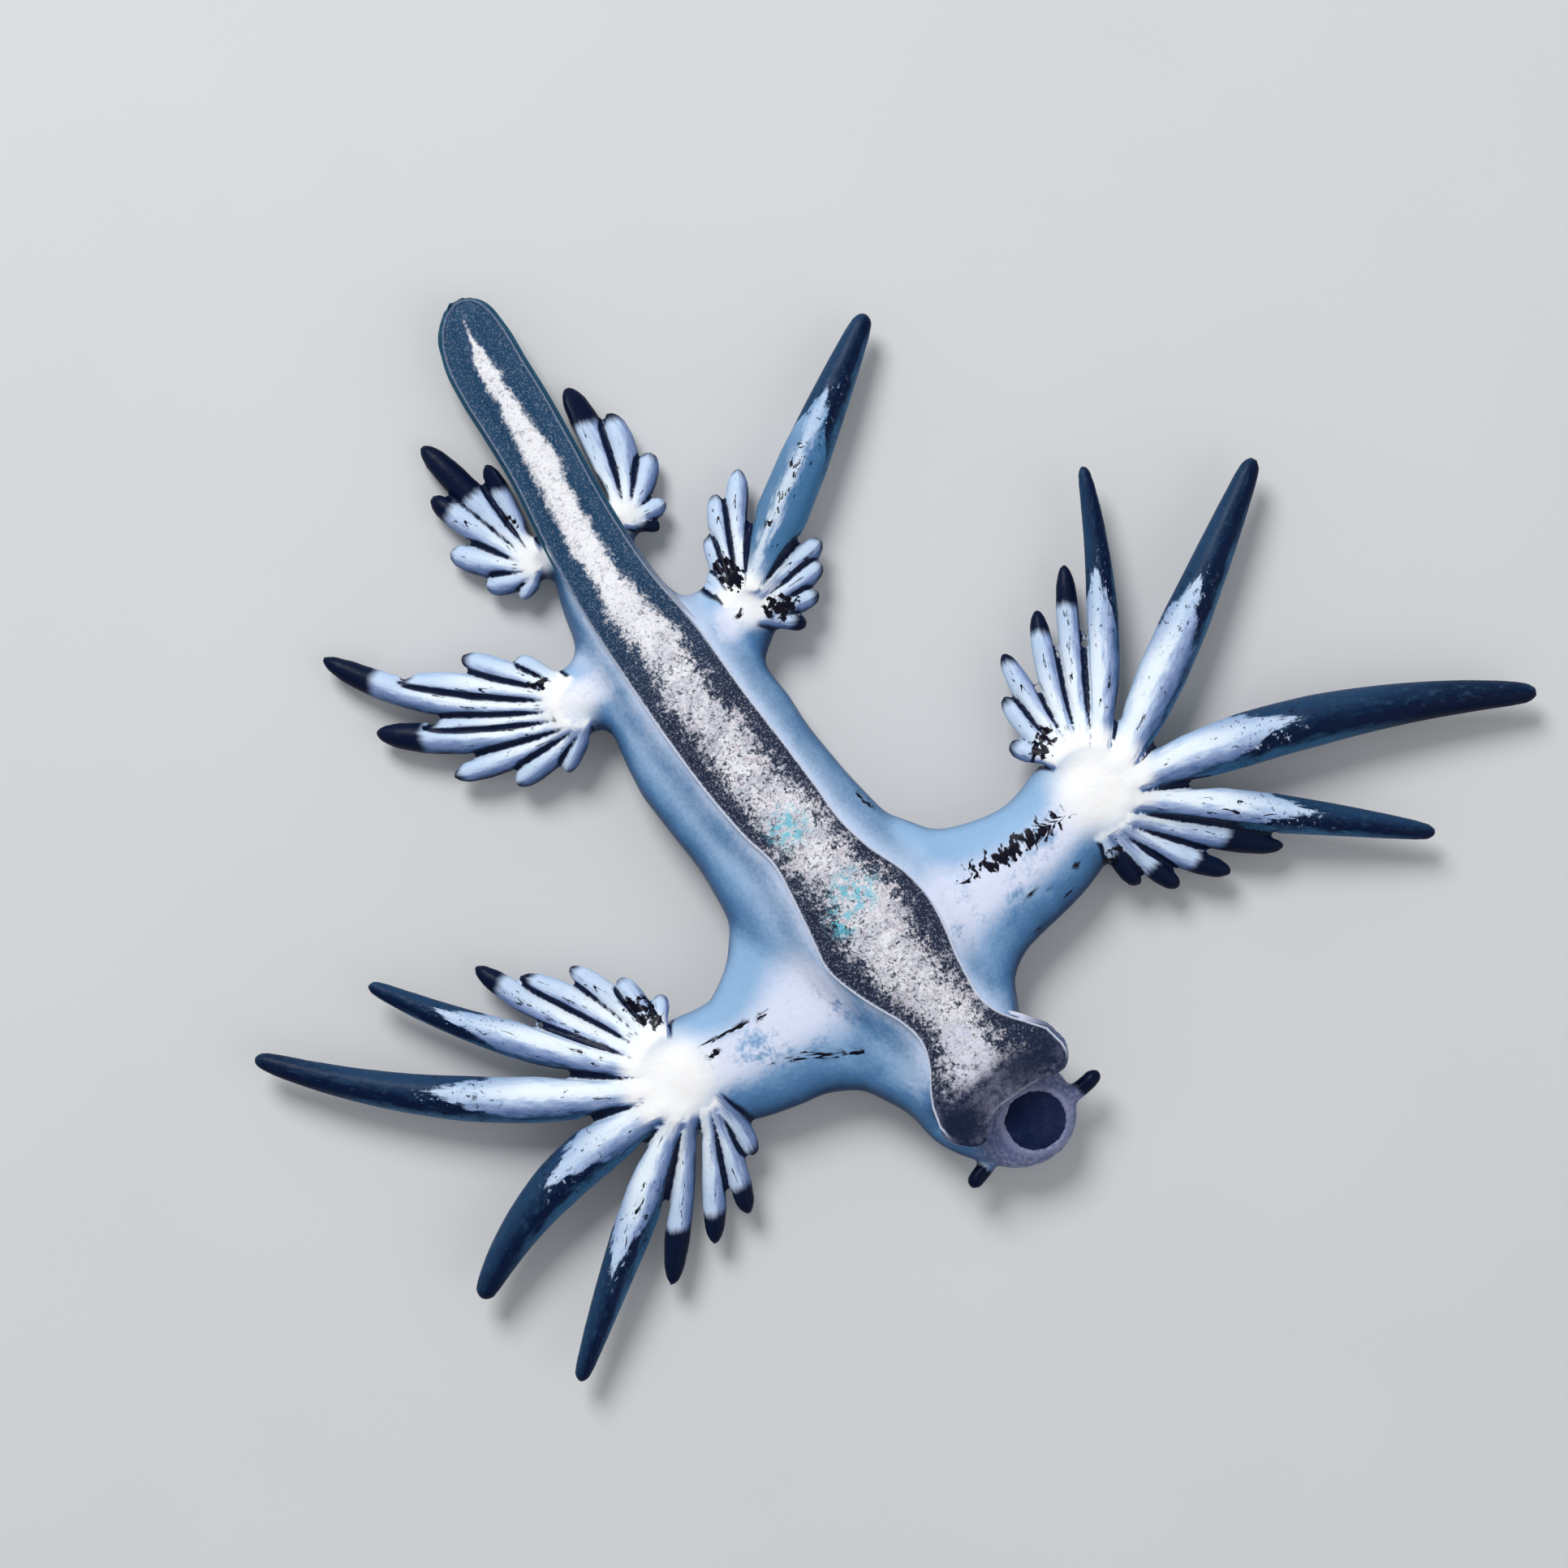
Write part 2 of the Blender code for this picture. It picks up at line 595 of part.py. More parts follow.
def make_fan(arm, collection):
    """The arm's end with its short cerata fused on, and each long ceras as a node."""
    draw = random.Random(arm.name + str(SAG_SEED))
    fan = arm.end(collection)
    roots = []
    long_count = 0
    depth = ROOT_DEPTH * arm.rim
    for number, row in enumerate(arm.cerata, 1):
        length = row[3]
        sag = draw.uniform(*SAG)
        if length < LONG_FROM:
            distances = [-depth] + [share * length for share in SHORT_RINGS]
            rings = ceras_sections(arm, row, distances, -SHORT_BELOW, sag, SHORT_SHAPE, SHORT_FLATNESS)
            roots.append(sweep(f"{arm.name}_short_{number}", rings, SHORT_SIDES, collection))
            continue
        shape = (LONG_ABOVE, sag, LONG_SHAPE, LONG_FLATNESS)
        joined = (arm.name, number) in JOINED
        beyond = [share * length for share in LONG_RINGS]
        distances = [-depth, 0.0] + (beyond if joined else [LONG_STUB])
        rings = ceras_sections(arm, row, distances, *shape)
        roots.append(sweep(f"{arm.name}_stub_{number}", rings, LONG_SIDES, collection))
        if joined:
            continue
        long_count += 1
        start = LONG_STUB + GAP
        distances = [start] + [s for s in beyond if s > start + NEAREST_RING]
        rings = ceras_sections(arm, row, distances, *shape)
        ceras = sweep(f"ceras_{arm.name}_{long_count}", rings, LONG_SIDES, collection)
        paint(ceras, CERAS_BLUE)
        shade(ceras)
    fuse(fan, roots)
    paint(fan, HUB_WHITE)
    shade(fan)


def make_length(name, start, stop, collection, stubs=()):
    """One length of the trunk between two thin cuts, with the roots of its arms."""
    rings = [trunk_section(y) for y in places(start, stop)]
    length = sweep(name, rings, TRUNK_SIDES, collection, TRUNK_POWER)
    if stubs:
        fuse(length, list(stubs))
    paint(length, TRUNK_BLUE)
    shade(length)


def make_tail(start, collection):
    ys = places_to_tip(start, TRUNK[-1][0], TAIL_CLOSING)
    tail = sweep("tail", [trunk_section(y) for y in ys], TRUNK_SIDES, collection, TRUNK_POWER)
    paint(tail, TRUNK_BLUE)
    shade(tail)


def mouth_matrix(depth):
    """A turn and a shift to a depth under the mouth's rim."""
    place = Matrix.Translation(Vector(MOUTH) * MM)
    tilt = Matrix.Rotation(math.radians(MOUTH_TILT), 4, "X")
    return place @ tilt @ Matrix.Translation((0, 0, -depth * MM))


def drum(name, radius, thick, depth, collection):
    """A round plug across the mouth, with its lower face at a depth."""
    bm = bmesh.new()
    bmesh.ops.create_cone(bm, cap_ends=True, segments=MOUTH_SIDES, radius1=radius * MM,
                          radius2=radius * MM, depth=thick * MM)
    bmesh.ops.transform(bm, matrix=mouth_matrix(depth - thick / 2), verts=bm.verts)
    return add_object(name, bm, collection)


def lip(collection):
    """The thick rim round the mouth, a small circle turned round a large one."""
    bm = bmesh.new()
    ring = bmesh.ops.create_circle(bm, segments=LIP_SIDES, radius=LIP_THICK * MM)["verts"]
    stand = Matrix.Translation((LIP_RING * MM, 0, 0)) @ Matrix.Rotation(math.pi / 2, 4, "X")
    bmesh.ops.transform(bm, matrix=stand, verts=ring)
    bmesh.ops.spin(bm, geom=bm.verts[:] + bm.edges[:], axis=(0, 0, 1), cent=(0, 0, 0),
                   angle=math.tau, steps=MOUTH_SIDES, use_merge=True)
    bmesh.ops.remove_doubles(bm, verts=bm.verts, dist=WELD * MM)
    bmesh.ops.transform(bm, matrix=mouth_matrix(LIP_DEPTH), verts=bm.verts)
    bmesh.ops.recalc_face_normals(bm, faces=bm.faces)
    return add_object("lip", bm, collection)


def make_feeler(name, rows, stub_end, collection):
    """A feeler as a node of its own. Its root, which stays on the head, is handed back."""
    route = feeler_route(rows, stub_end + GAP / 2)
    distances = places(0.0, stub_end, FEELER_STEP)
    stub = sweep(name + "_stub", route.sections(distances), FEELER_SIDES, collection)
    distances = places_to_tip(stub_end + GAP, route.length, FEELER_CLOSING, FEELER_STEP)
    feeler = sweep(name, route.sections(distances), FEELER_SIDES, collection)
    paint(feeler, FEELER_NAVY)
    shade(feeler)
    return stub


def make_head(collection):
    """The head with its lip, the pit of the mouth and the roots of its feelers."""
    ys = places_to_tip(HEAD_END, TRUNK[0][0], BROW_CLOSING)
    head = sweep("head", [trunk_section(y) for y in ys], TRUNK_SIDES, collection, TRUNK_POWER)
    stubs = [
        make_feeler("oral_tentacle_left", ORAL_TENTACLE_LEFT, ORAL_STUB, collection),
        make_feeler("oral_tentacle_right", ORAL_TENTACLE_RIGHT, ORAL_STUB, collection),
        make_feeler("rhinophore_left", RHINOPHORE_LEFT, RHINOPHORE_STUB, collection),
        make_feeler("rhinophore_right", RHINOPHORE_RIGHT, RHINOPHORE_STUB, collection),
    ]
    fuse(head, stubs + [lip(collection)])
    pit = drum("pit", MOUTH_PIT, 2 * MOUTH_PIT_DEEP, MOUTH_PIT_DEEP, collection)
    combine(head, [pit], "DIFFERENCE")
    tidy_surface(head)
    paint(head, HEAD_LAVENDER)
    shade(head)
    disc = drum("mouth_disc", MOUTH_DISC, MOUTH_DISC_THICK, MOUTH_PIT_DEEP - GAP, collection)
    paint(disc, MOUTH_NAVY)
    shade(disc)


def sole_grid(name, rows, thick, collection):
    """A strip of the sole: a grid laid a gap over the trunk, then given its thickness."""
    bm = bmesh.new()
    bmesh.ops.create_grid(bm, x_segments=SOLE_COLUMNS - 1, y_segments=len(rows) - 1, size=1.0)
    for index, vert in enumerate(bm.verts):
        row, column = divmod(index, SOLE_COLUMNS)
        x, y = rows[row](column / (SOLE_COLUMNS - 1))
        vert.co = Vector((x, y, trunk_top(x, y) + GAP)) * MM
    bmesh.ops.recalc_face_normals(bm, faces=bm.faces)
    if sum(face.normal.z for face in bm.faces) < 0:
        bmesh.ops.reverse_faces(bm, faces=bm.faces)
    strip = add_object(name, bm, collection)
    solid = strip.modifiers.new("thickness", "SOLIDIFY")
    solid.thickness = thick * MM
    solid.offset = 1.0
    paint(strip, SOLE_SILVER)


def sole_row(y):
    """The points across the sole at a place along the body."""
    left, right = eased(SOLE, y)
    return lambda share: (left + (right - left) * share, y)


def lobe_row(blend):
    """The points across the sole between its last straight row and its lobed front edge."""
    rear = sole_row(SOLE[0][0])
    edge = [(index / (len(SOLE_FRONT) - 1), *point) for index, point in enumerate(SOLE_FRONT)]

    def point(share):
        x, y = rear(share)
        front_x, front_y = eased(edge, share)
        return x + (front_x - x) * blend, y + (front_y - y) * blend

    return point


def make_sole(collection):
    """The foot in four lengths: front with its two lobes, middle, rear and tail."""
    front = [lobe_row(1 - step / LOBE_ROWS) for step in range(LOBE_ROWS)]
    half = GAP / 2
    front += [sole_row(y) for y in places(SOLE[0][0], SOLE_CUTS[0] - half)]
    sole_grid("foot_front", front, SOLE_THICK, collection)
    for name, start, stop in zip(("foot_middle", "foot_rear"), SOLE_CUTS, SOLE_CUTS[1:]):
        rows = [sole_row(y) for y in places(start + half, stop - half)]
        sole_grid(name, rows, SOLE_THICK, collection)
    ys = places_to_tip(SOLE_CUTS[-1] + half, SOLE[-1][0], SOLE_CLOSING)
    sole_grid("foot_tail", [sole_row(y) for y in ys], SOLE_TAIL_THICK, collection)


def main():
    clear_scene()
    slug = new_collection("blue_dragon_sea_slug")
    arms = {name: Arm(name, *values) for name, values in ARMS.items()}
    half = GAP / 2
    cuts = TRUNK_CUTS
    front_stubs = [arms["front_right"].stub(slug), arms["front_left"].stub(slug)]
    make_length("trunk_front", HEAD_END + GAP, cuts[0] - half, slug, front_stubs)
    make_length("trunk_middle", cuts[0] + half, cuts[1] - half, slug)
    middle_stubs = [arms["middle_left"].stub(slug), arms["middle_right"].stub(slug)]
    make_length("trunk_rear", cuts[1] + half, cuts[2] - half, slug, middle_stubs)
    rear_stubs = [arms["rear_left"].stub(slug), arms["rear_right"].stub(slug)]
    make_length("tail_root", cuts[2] + half, cuts[3] - half, slug, rear_stubs)
    make_tail(cuts[3] + half, slug)
    make_head(slug)
    make_sole(slug)
    for arm in arms.values():
        if arm.stem_end > arm.stem_start:
            arm.stem(slug)
        make_fan(arm, slug)


main()
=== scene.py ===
"""Blue dragon sea slug: a life-size still model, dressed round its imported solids.

Metres, +Z up, as the solids are. The tables below are in millimetres and degrees.
The slug lies on its back, so its foot faces up. The head points along -Y and the
slug's own right side is +X. A heading is measured from +X towards +Y.
"""

import math
import random
from collections import namedtuple

import bmesh
import bpy
import numpy as np
from bpy.props import FloatProperty, FloatVectorProperty, IntProperty, PointerProperty
from mathutils import Matrix, Vector


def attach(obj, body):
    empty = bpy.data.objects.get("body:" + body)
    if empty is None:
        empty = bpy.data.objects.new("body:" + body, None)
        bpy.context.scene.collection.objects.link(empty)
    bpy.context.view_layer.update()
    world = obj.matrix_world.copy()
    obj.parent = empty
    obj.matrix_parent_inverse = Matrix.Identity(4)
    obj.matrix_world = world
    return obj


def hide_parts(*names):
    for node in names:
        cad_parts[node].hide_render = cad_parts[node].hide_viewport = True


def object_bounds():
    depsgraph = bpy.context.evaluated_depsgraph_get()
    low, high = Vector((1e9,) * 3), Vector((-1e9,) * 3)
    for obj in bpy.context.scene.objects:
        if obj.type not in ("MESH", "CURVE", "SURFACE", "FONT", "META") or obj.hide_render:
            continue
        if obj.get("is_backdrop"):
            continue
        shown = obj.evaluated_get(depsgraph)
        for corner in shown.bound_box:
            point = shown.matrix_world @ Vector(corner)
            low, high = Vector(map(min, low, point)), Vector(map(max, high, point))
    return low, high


bl_info = {
    "name": "Blue Dragon Sea Slug",
    "version": (1, 0, 0),
    "blender": (4, 5, 0),
    "location": "3D View > Sidebar > Sea Slug",
    "description": "Skin, foot, mouth and stage of a life-size sea slug model",
    "category": "Add Mesh",
}

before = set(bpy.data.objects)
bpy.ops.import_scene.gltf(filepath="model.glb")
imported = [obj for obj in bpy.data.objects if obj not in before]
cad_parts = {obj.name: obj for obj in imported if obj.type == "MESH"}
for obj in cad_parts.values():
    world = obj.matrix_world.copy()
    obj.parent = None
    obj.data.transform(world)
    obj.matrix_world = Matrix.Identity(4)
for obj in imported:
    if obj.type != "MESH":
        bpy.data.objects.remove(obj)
SOLID_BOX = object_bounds()

MM = 0.001
FLOOR = 0.0

# Rows along the trunk under the foot, from the brow to the tail tip:
# place along Y, centre in X, half width, underside, upper face.
TRUNK = (
    (-16.95, 1.05, 0.45, 1.50, 1.95),
    (-16.70, 1.00, 1.10, 1.30, 2.20),
    (-16.20, 0.95, 1.70, 1.18, 2.40),
    (-15.60, 0.85, 2.15, 1.15, 2.55),
    (-14.80, 0.60, 2.50, 1.15, 2.75),
    (-13.80, 0.30, 2.75, 1.10, 2.95),
    (-12.40, 0.10, 2.75, 0.82, 3.15),
    (-11.00, 0.10, 3.45, 0.15, 3.30),
    (-9.00, 0.05, 3.60, -0.12, 3.45),
    (-7.00, 0.00, 3.70, -0.15, 3.55),
    (-4.00, -0.30, 3.75, -0.15, 3.60),
    (-2.00, -0.35, 3.65, -0.15, 3.60),
    (0.00, -0.42, 3.42, -0.15, 3.50),
    (2.00, -0.55, 3.38, -0.15, 3.40),
    (4.00, -0.55, 3.42, -0.15, 3.30),
    (6.00, -0.50, 3.10, -0.15, 3.15),
    (8.00, -0.60, 2.40, -0.15, 2.90),
    (10.00, -0.65, 2.10, -0.15, 2.60),
    (12.00, -0.49, 1.67, -0.12, 2.25),
    (13.20, -0.20, 1.28, -0.10, 2.05),
    (14.50, -0.02, 1.12, -0.08, 1.88),
    (16.00, 0.15, 1.05, -0.05, 1.70),
    (18.00, 0.40, 1.05, 0.00, 1.45),
    (20.00, 0.50, 1.00, 0.05, 1.25),
    (22.00, 0.75, 0.80, 0.15, 1.05),
    (22.80, 0.90, 0.50, 0.25, 0.95),
    (23.10, 1.00, 0.25, 0.40, 0.80),
)
TRUNK_POWER = 2.4  # of the superellipse that the trunk's section follows

# Rows along the sole: place along Y, left edge, right edge, half width of the silver band.
SOLE = (
    (-12.60, -1.70, 3.65, 1.75),
    (-12.00, -1.40, 3.20, 1.60),
    (-11.20, -0.90, 2.60, 1.40),
    (-10.30, -0.62, 2.25, 1.25),
    (-9.20, -0.80, 2.30, 1.30),
    (-8.20, -1.25, 2.45, 1.45),
    (-7.20, -1.65, 2.68, 1.62),
    (-6.00, -1.95, 2.82, 1.72),
    (-4.60, -1.75, 2.65, 1.62),
    (-3.00, -1.49, 2.06, 1.42),
    (-1.50, -1.34, 1.76, 1.30),
    (0.00, -1.64, 1.74, 1.25),
    (1.50, -1.81, 1.70, 1.18),
    (4.50, -1.93, 1.56, 1.05),
    (7.50, -1.90, 1.51, 0.95),
    (10.50, -1.80, 1.22, 0.72),
    (13.50, -1.47, 1.30, 0.62),
    (16.50, -1.04, 1.61, 0.60),
    (18.50, -0.92, 1.80, 0.52),
    (20.00, -0.85, 1.88, 0.42),
    (21.50, -0.60, 1.98, 0.26),
    (22.30, -0.25, 1.92, 0.18),
    (22.80, 0.15, 1.75, 0.08),
    (23.10, 0.55, 1.50, 0.02),
    (23.24, 0.90, 1.20, 0.01),
)
# The sole's front edge, from its left side round the two lobes to its right side.
SOLE_FRONT = (
    (-1.90, -13.40),
    (-1.75, -14.15),
    (-1.25, -14.72),
    (-0.72, -14.80),
    (-0.25, -14.35),
    (0.20, -14.05),
    (1.00, -14.00),
    (1.90, -14.03),
    (2.60, -14.15),
    (3.30, -14.25),
    (3.72, -13.85),
    (3.80, -13.40),
)

# Patches of colour on the sole: centre in X and Y, reach.
SOLE_PATCHES = {
    "cyan": ((-0.07, -0.64, 1.2), (0.60, -4.10, 1.3), (-0.43, -4.73, 0.9)),
    "bloom": ((0.88, -11.70, 1.2), (0.60, -11.00, 0.9), (0.10, -12.00, 0.8)),
    "dusk": ((2.60, -12.70, 2.0), (-1.10, -13.70, 1.3), (2.60, -11.80, 1.1)),
}

# Rows along each arm, from inside the trunk to its round end:
# centre in X and Y, half width, underside, upper face.
ARM_FRONT_RIGHT = (
    (0.50, -7.00, 4.55, 0.35, 3.05),
    (2.60, -7.00, 4.65, 0.35, 3.05),
    (3.30, -7.00, 4.50, 0.35, 3.05),
    (3.60, -7.02, 4.05, 0.35, 3.04),
    (4.00, -7.05, 3.50, 0.35, 3.03),
    (4.70, -7.08, 2.94, 0.40, 3.00),
    (5.60, -7.12, 2.60, 0.40, 2.95),
    (6.60, -7.14, 2.40, 0.35, 2.92),
    (7.50, -7.06, 2.28, 0.25, 2.90),
    (8.60, -6.78, 2.18, 0.05, 2.90),
    (9.70, -6.45, 2.20, -0.12, 2.90),
    (10.90, -6.25, 2.05, -0.12, 2.80),
    (11.70, -6.20, 1.60, 0.10, 2.60),
    (12.20, -6.20, 0.95, 0.55, 2.20),
    (12.40, -6.20, 0.35, 1.10, 1.75),
)
ARM_FRONT_LEFT = (
    (-0.50, -6.68, 4.50, 0.35, 3.05),
    (-2.60, -6.70, 4.55, 0.35, 3.05),
    (-3.50, -6.74, 4.45, 0.35, 3.05),
    (-4.20, -6.82, 3.80, 0.35, 3.03),
    (-5.00, -6.90, 3.16, 0.40, 3.00),
    (-5.80, -6.95, 2.80, 0.40, 2.97),
    (-6.70, -6.88, 2.54, 0.30, 2.93),
    (-7.60, -6.62, 2.32, 0.15, 2.90),
    (-8.70, -6.26, 2.15, -0.12, 2.90),
    (-9.60, -6.15, 1.95, -0.12, 2.80),
    (-10.30, -6.10, 1.40, 0.10, 2.60),
    (-10.70, -6.10, 0.85, 0.55, 2.20),
    (-10.88, -6.10, 0.35, 1.10, 1.75),
)
ARM_MIDDLE_LEFT = (
    (-1.00, 7.60, 2.50, 0.20, 2.55),
    (-2.60, 7.80, 2.00, 0.10, 2.50),
    (-3.50, 7.90, 1.45, -0.12, 2.45),
    (-4.30, 8.00, 1.20, -0.12, 2.35),
    (-4.80, 8.05, 0.80, 0.20, 2.05),
    (-5.02, 8.07, 0.35, 0.75, 1.55),
)
ARM_MIDDLE_RIGHT = (
    (0.40, 6.90, 1.90, 0.20, 2.55),
    (1.70, 6.92, 1.98, 0.10, 2.45),
    (2.90, 6.98, 1.75, -0.12, 2.40),
    (3.80, 7.20, 1.18, -0.12, 2.30),
    (4.25, 7.30, 0.80, 0.20, 2.00),
    (4.48, 7.33, 0.35, 0.75, 1.50),
)
ARM_REAR_LEFT = (
    (-0.40, 12.95, 1.10, 0.15, 1.60),
    (-1.30, 13.15, 0.91, 0.10, 1.55),
    (-1.95, 13.30, 0.75, -0.08, 1.50),
    (-2.35, 13.35, 0.55, 0.15, 1.30),
    (-2.52, 13.38, 0.25, 0.45, 1.00),
)
ARM_REAR_RIGHT = (
    (-0.10, 12.40, 1.10, 0.15, 1.60),
    (0.80, 12.58, 0.93, 0.10, 1.55),
    (1.45, 12.70, 0.76, -0.08, 1.50),
    (1.80, 12.75, 0.50, 0.15, 1.30),
    (1.96, 12.78, 0.25, 0.45, 1.00),
)

# Cerata round each arm's end, in order: place on the rim, heading at the root,
# heading at the tip, length, full width, share of the length where the dark tip starts.
CERATA_FRONT_RIGHT = (
    (110, 130, 114, 1.5, 0.78, 0.80),
    (102, 100, 89, 2.8, 0.80, 0.86),
    (88, 92, 82, 4.15, 0.82, 0.88),
    (78, 75, 62, 5.2, 0.84, 0.81),
    (64, 62, 59, 6.7, 0.88, 0.75),
    (45, 50, 67, 10.5, 1.22, 0.56),
    (12, 30, 33, 12.3, 1.80, 0.52),
    (-21, -12, -34, 15.7, 1.95, 0.34),
    (-48, -39, -43, 11.4, 1.50, 0.52),
    (-70, -46, -43, 5.9, 0.98, 0.60),
    (-83, -64, -49, 4.4, 0.88, 0.66),
    (-94, -79, -69, 3.1, 0.82, 0.55),
    (-107, -92, -82, 2.1, 0.78, 0.20),
)
CERATA_FRONT_LEFT = (
    (76, 60, 60, 1.2, 0.70, 0.90),
    (88, 80, 100, 2.4, 0.82, 0.90),
    (98, 94, 114, 3.95, 0.88, 0.92),
    (107, 108, 127, 5.3, 0.92, 0.90),
    (118, 127, 109, 7.0, 0.98, 0.82),
    (136, 136, 120, 10.6, 1.36, 0.66),
    (166, 153, 127, 14.8, 1.70, 0.48),
    (197, 174, 212, 9.8, 1.90, 0.40),
    (227, 213, 217, 10.6, 1.48, 0.51),
    (244, 229, 229, 6.3, 0.94, 0.64),
    (269, 240, 234, 5.0, 0.88, 0.75),
    (277, 256, 249, 4.2, 0.86, 0.72),
    (287, 280, 254, 2.35, 0.78, 0.88),
)
CERATA_MIDDLE_LEFT = (
    (98, 112, 126, 1.9, 0.80, 0.95),
    (114, 130, 124, 3.8, 0.95, 0.90),
    (132, 139, 141, 5.9, 1.05, 0.92),
    (154, 150, 116, 9.2, 1.05, 0.76),
    (176, 153, 147, 5.0, 0.90, 0.90),
    (200, 158, 136, 7.3, 1.15, 0.74),
    (220, 172, 161, 4.9, 0.95, 0.93),
    (236, 189, 181, 3.2, 0.95, 0.95),
    (250, 212, 208, 1.8, 0.78, 0.97),
)
CERATA_MIDDLE_RIGHT = (
    (114, 95, 99, 1.2, 0.72, 0.90),
    (100, 80, 72, 2.3, 0.80, 0.88),
    (85, 71, 64, 3.7, 0.90, 0.93),
    (68, 62, 52, 4.5, 0.92, 0.95),
    (42, 33, 32, 11.3, 1.90, 0.65),
    (10, 9, 7, 2.9, 0.95, 0.92),
    (-16, 0, 4, 2.4, 0.90, 0.92),
    (-40, -20, -4, 1.9, 0.78, 0.85),
    (-62, -48, -25, 1.4, 0.70, 0.60),
)
CERATA_REAR_LEFT = (
    (100, 86, 81, 3.6, 0.80, 0.65),
    (126, 98, 101, 5.8, 1.02, 0.50),
    (153, 112, 110, 4.4, 1.02, 0.77),
    (179, 143, 122, 3.1, 1.02, 0.95),
    (203, 170, 148, 1.9, 0.90, 0.95),
    (217, 204, 206, 1.1, 0.70, 0.95),
)
CERATA_REAR_RIGHT = (
    (62, 71, 88, 5.1, 1.05, 0.66),
    (33, 50, 84, 3.8, 1.08, 0.88),
    (11, 28, 50, 2.4, 0.95, 0.90),
    (-20, -14, 8, 1.3, 0.80, 0.92),
    (-44, -48, -48, 1.1, 0.68, 0.10),
)
LONG_FROM = 9.5  # the shape of a ceras this long or longer is the long one
ROOT_DEPTH = 0.42  # share of the rim's radius that a root is sunk into the arm's end
LONG_ABOVE = 0.30  # height of the long ones over the arm's mid height
SHORT_BELOW = 0.12
SAG = (0.006, 0.03)  # fall of a ceras for each millimetre of its length, at least and at most
SAG_SEED = 11
STRAIGHT = 1e-6  # a ceras that turns less than this, in radians a millimetre, is straight
LONG_COLLAR = 0.48  # extra height of a ceras at its root, as a share of its hub's, which fades along it
SHORT_COLLAR = 0.74
COLLAR_FADE = 1.5
COLLAR_TOP = 1.15  # the most that it grows to, towards the middle of the arm's end

# Share of the length, share of the full width.
LONG_SHAPE = ((-0.2, 0.58), (0.0, 0.64), (0.12, 0.88), (0.26, 1.0), (0.45, 0.96), (0.65, 0.79),
              (0.82, 0.62), (0.93, 0.48), (0.975, 0.38), (0.992, 0.26), (1.0, 0.12))
SHORT_SHAPE = ((-0.8, 0.55), (0.0, 0.64), (0.25, 0.88), (0.5, 1.0), (0.72, 0.98), (0.88, 0.80),
               (0.96, 0.52), (1.0, 0.18))
LONG_FLATNESS = 0.85
LONG_PLUMP = 1.08  # how much wider the skin makes a long ceras than its row says
SHORT_PLUMP = 1.1
SHORT_FLATNESS = 0.9

# Each arm: its rows, the centre and radius of the ring that its cerata grow from, its cerata
# and how white its end is.
ARMS = {
    "front_right": (ARM_FRONT_RIGHT, (10.30, -6.20, 1.40), 2.10, CERATA_FRONT_RIGHT, 1.0),
    "front_left": (ARM_FRONT_LEFT, (-8.90, -6.10, 1.40), 2.00, CERATA_FRONT_LEFT, 1.0),
    "middle_left": (ARM_MIDDLE_LEFT, (-3.95, 7.90, 1.20), 1.10, CERATA_MIDDLE_LEFT, 0.6),
    "middle_right": (ARM_MIDDLE_RIGHT, (3.50, 7.10, 1.20), 1.00, CERATA_MIDDLE_RIGHT, 0.9),
    "rear_left": (ARM_REAR_LEFT, (-1.90, 13.30, 0.78), 0.70, CERATA_REAR_LEFT, 0.7),
    "rear_right": (ARM_REAR_RIGHT, (1.40, 12.70, 0.78), 0.62, CERATA_REAR_RIGHT, 0.7),
}
# The pad that joins the roots of a fan, in shares of its rim's radius and its hub's height.
PAD_SHIFT = 0.40
HUB_SHIFT = 0.22  # how far the white of an arm's end lies beyond its middle, as a share of the rim's radius
PAD_REACH = 1.12
PAD_HEIGHT = 0.82

MOUTH = (1.27, -15.38, 2.62)
MOUTH_TILT = 12.0  # the disc faces a little forwards
# The soft slope from the skin up to the foot's edge.
FILLET_REACH = 1.1
FILLET_RISE = 0.52
LIP_RING = 1.30
LIP_THICK = 0.11
LIP_DEPTH = 0.12

# Rows along each feeler: centre in X, Y and Z, radius. The first ones lie in the head.
ORAL_TENTACLE_RIGHT = ((2.00, -15.45, 1.80, 0.34), (3.00, -15.42, 1.85, 0.34), (3.70, -15.36, 1.90, 0.33),
                       (4.08, -15.30, 1.94, 0.30), (4.27, -15.27, 1.95, 0.20), (4.36, -15.25, 1.95, 0.06))
ORAL_TENTACLE_LEFT = ((-0.30, -15.25, 1.75, 0.34), (-1.15, -15.72, 1.80, 0.34), (-1.75, -15.92, 1.85, 0.33),
                      (-2.05, -16.01, 1.89, 0.30), (-2.21, -16.05, 1.90, 0.20), (-2.30, -16.07, 1.90, 0.06))
RHINOPHORE_LEFT = ((-0.90, -12.50, 1.60, 0.28), (-1.05, -12.75, 0.92, 0.28), (-1.20, -13.05, 0.46, 0.28),
                   (-1.40, -13.60, 0.32, 0.26), (-1.55, -14.00, 0.30, 0.18), (-1.60, -14.12, 0.30, 0.08))
RHINOPHORE_RIGHT = ((1.90, -12.50, 1.60, 0.28), (2.05, -12.75, 0.92, 0.28), (2.20, -13.05, 0.46, 0.28),
                    (2.40, -13.60, 0.32, 0.26), (2.55, -14.00, 0.30, 0.18), (2.60, -14.12, 0.30, 0.08))
FEELERS = (ORAL_TENTACLE_RIGHT, ORAL_TENTACLE_LEFT, RHINOPHORE_LEFT, RHINOPHORE_RIGHT)

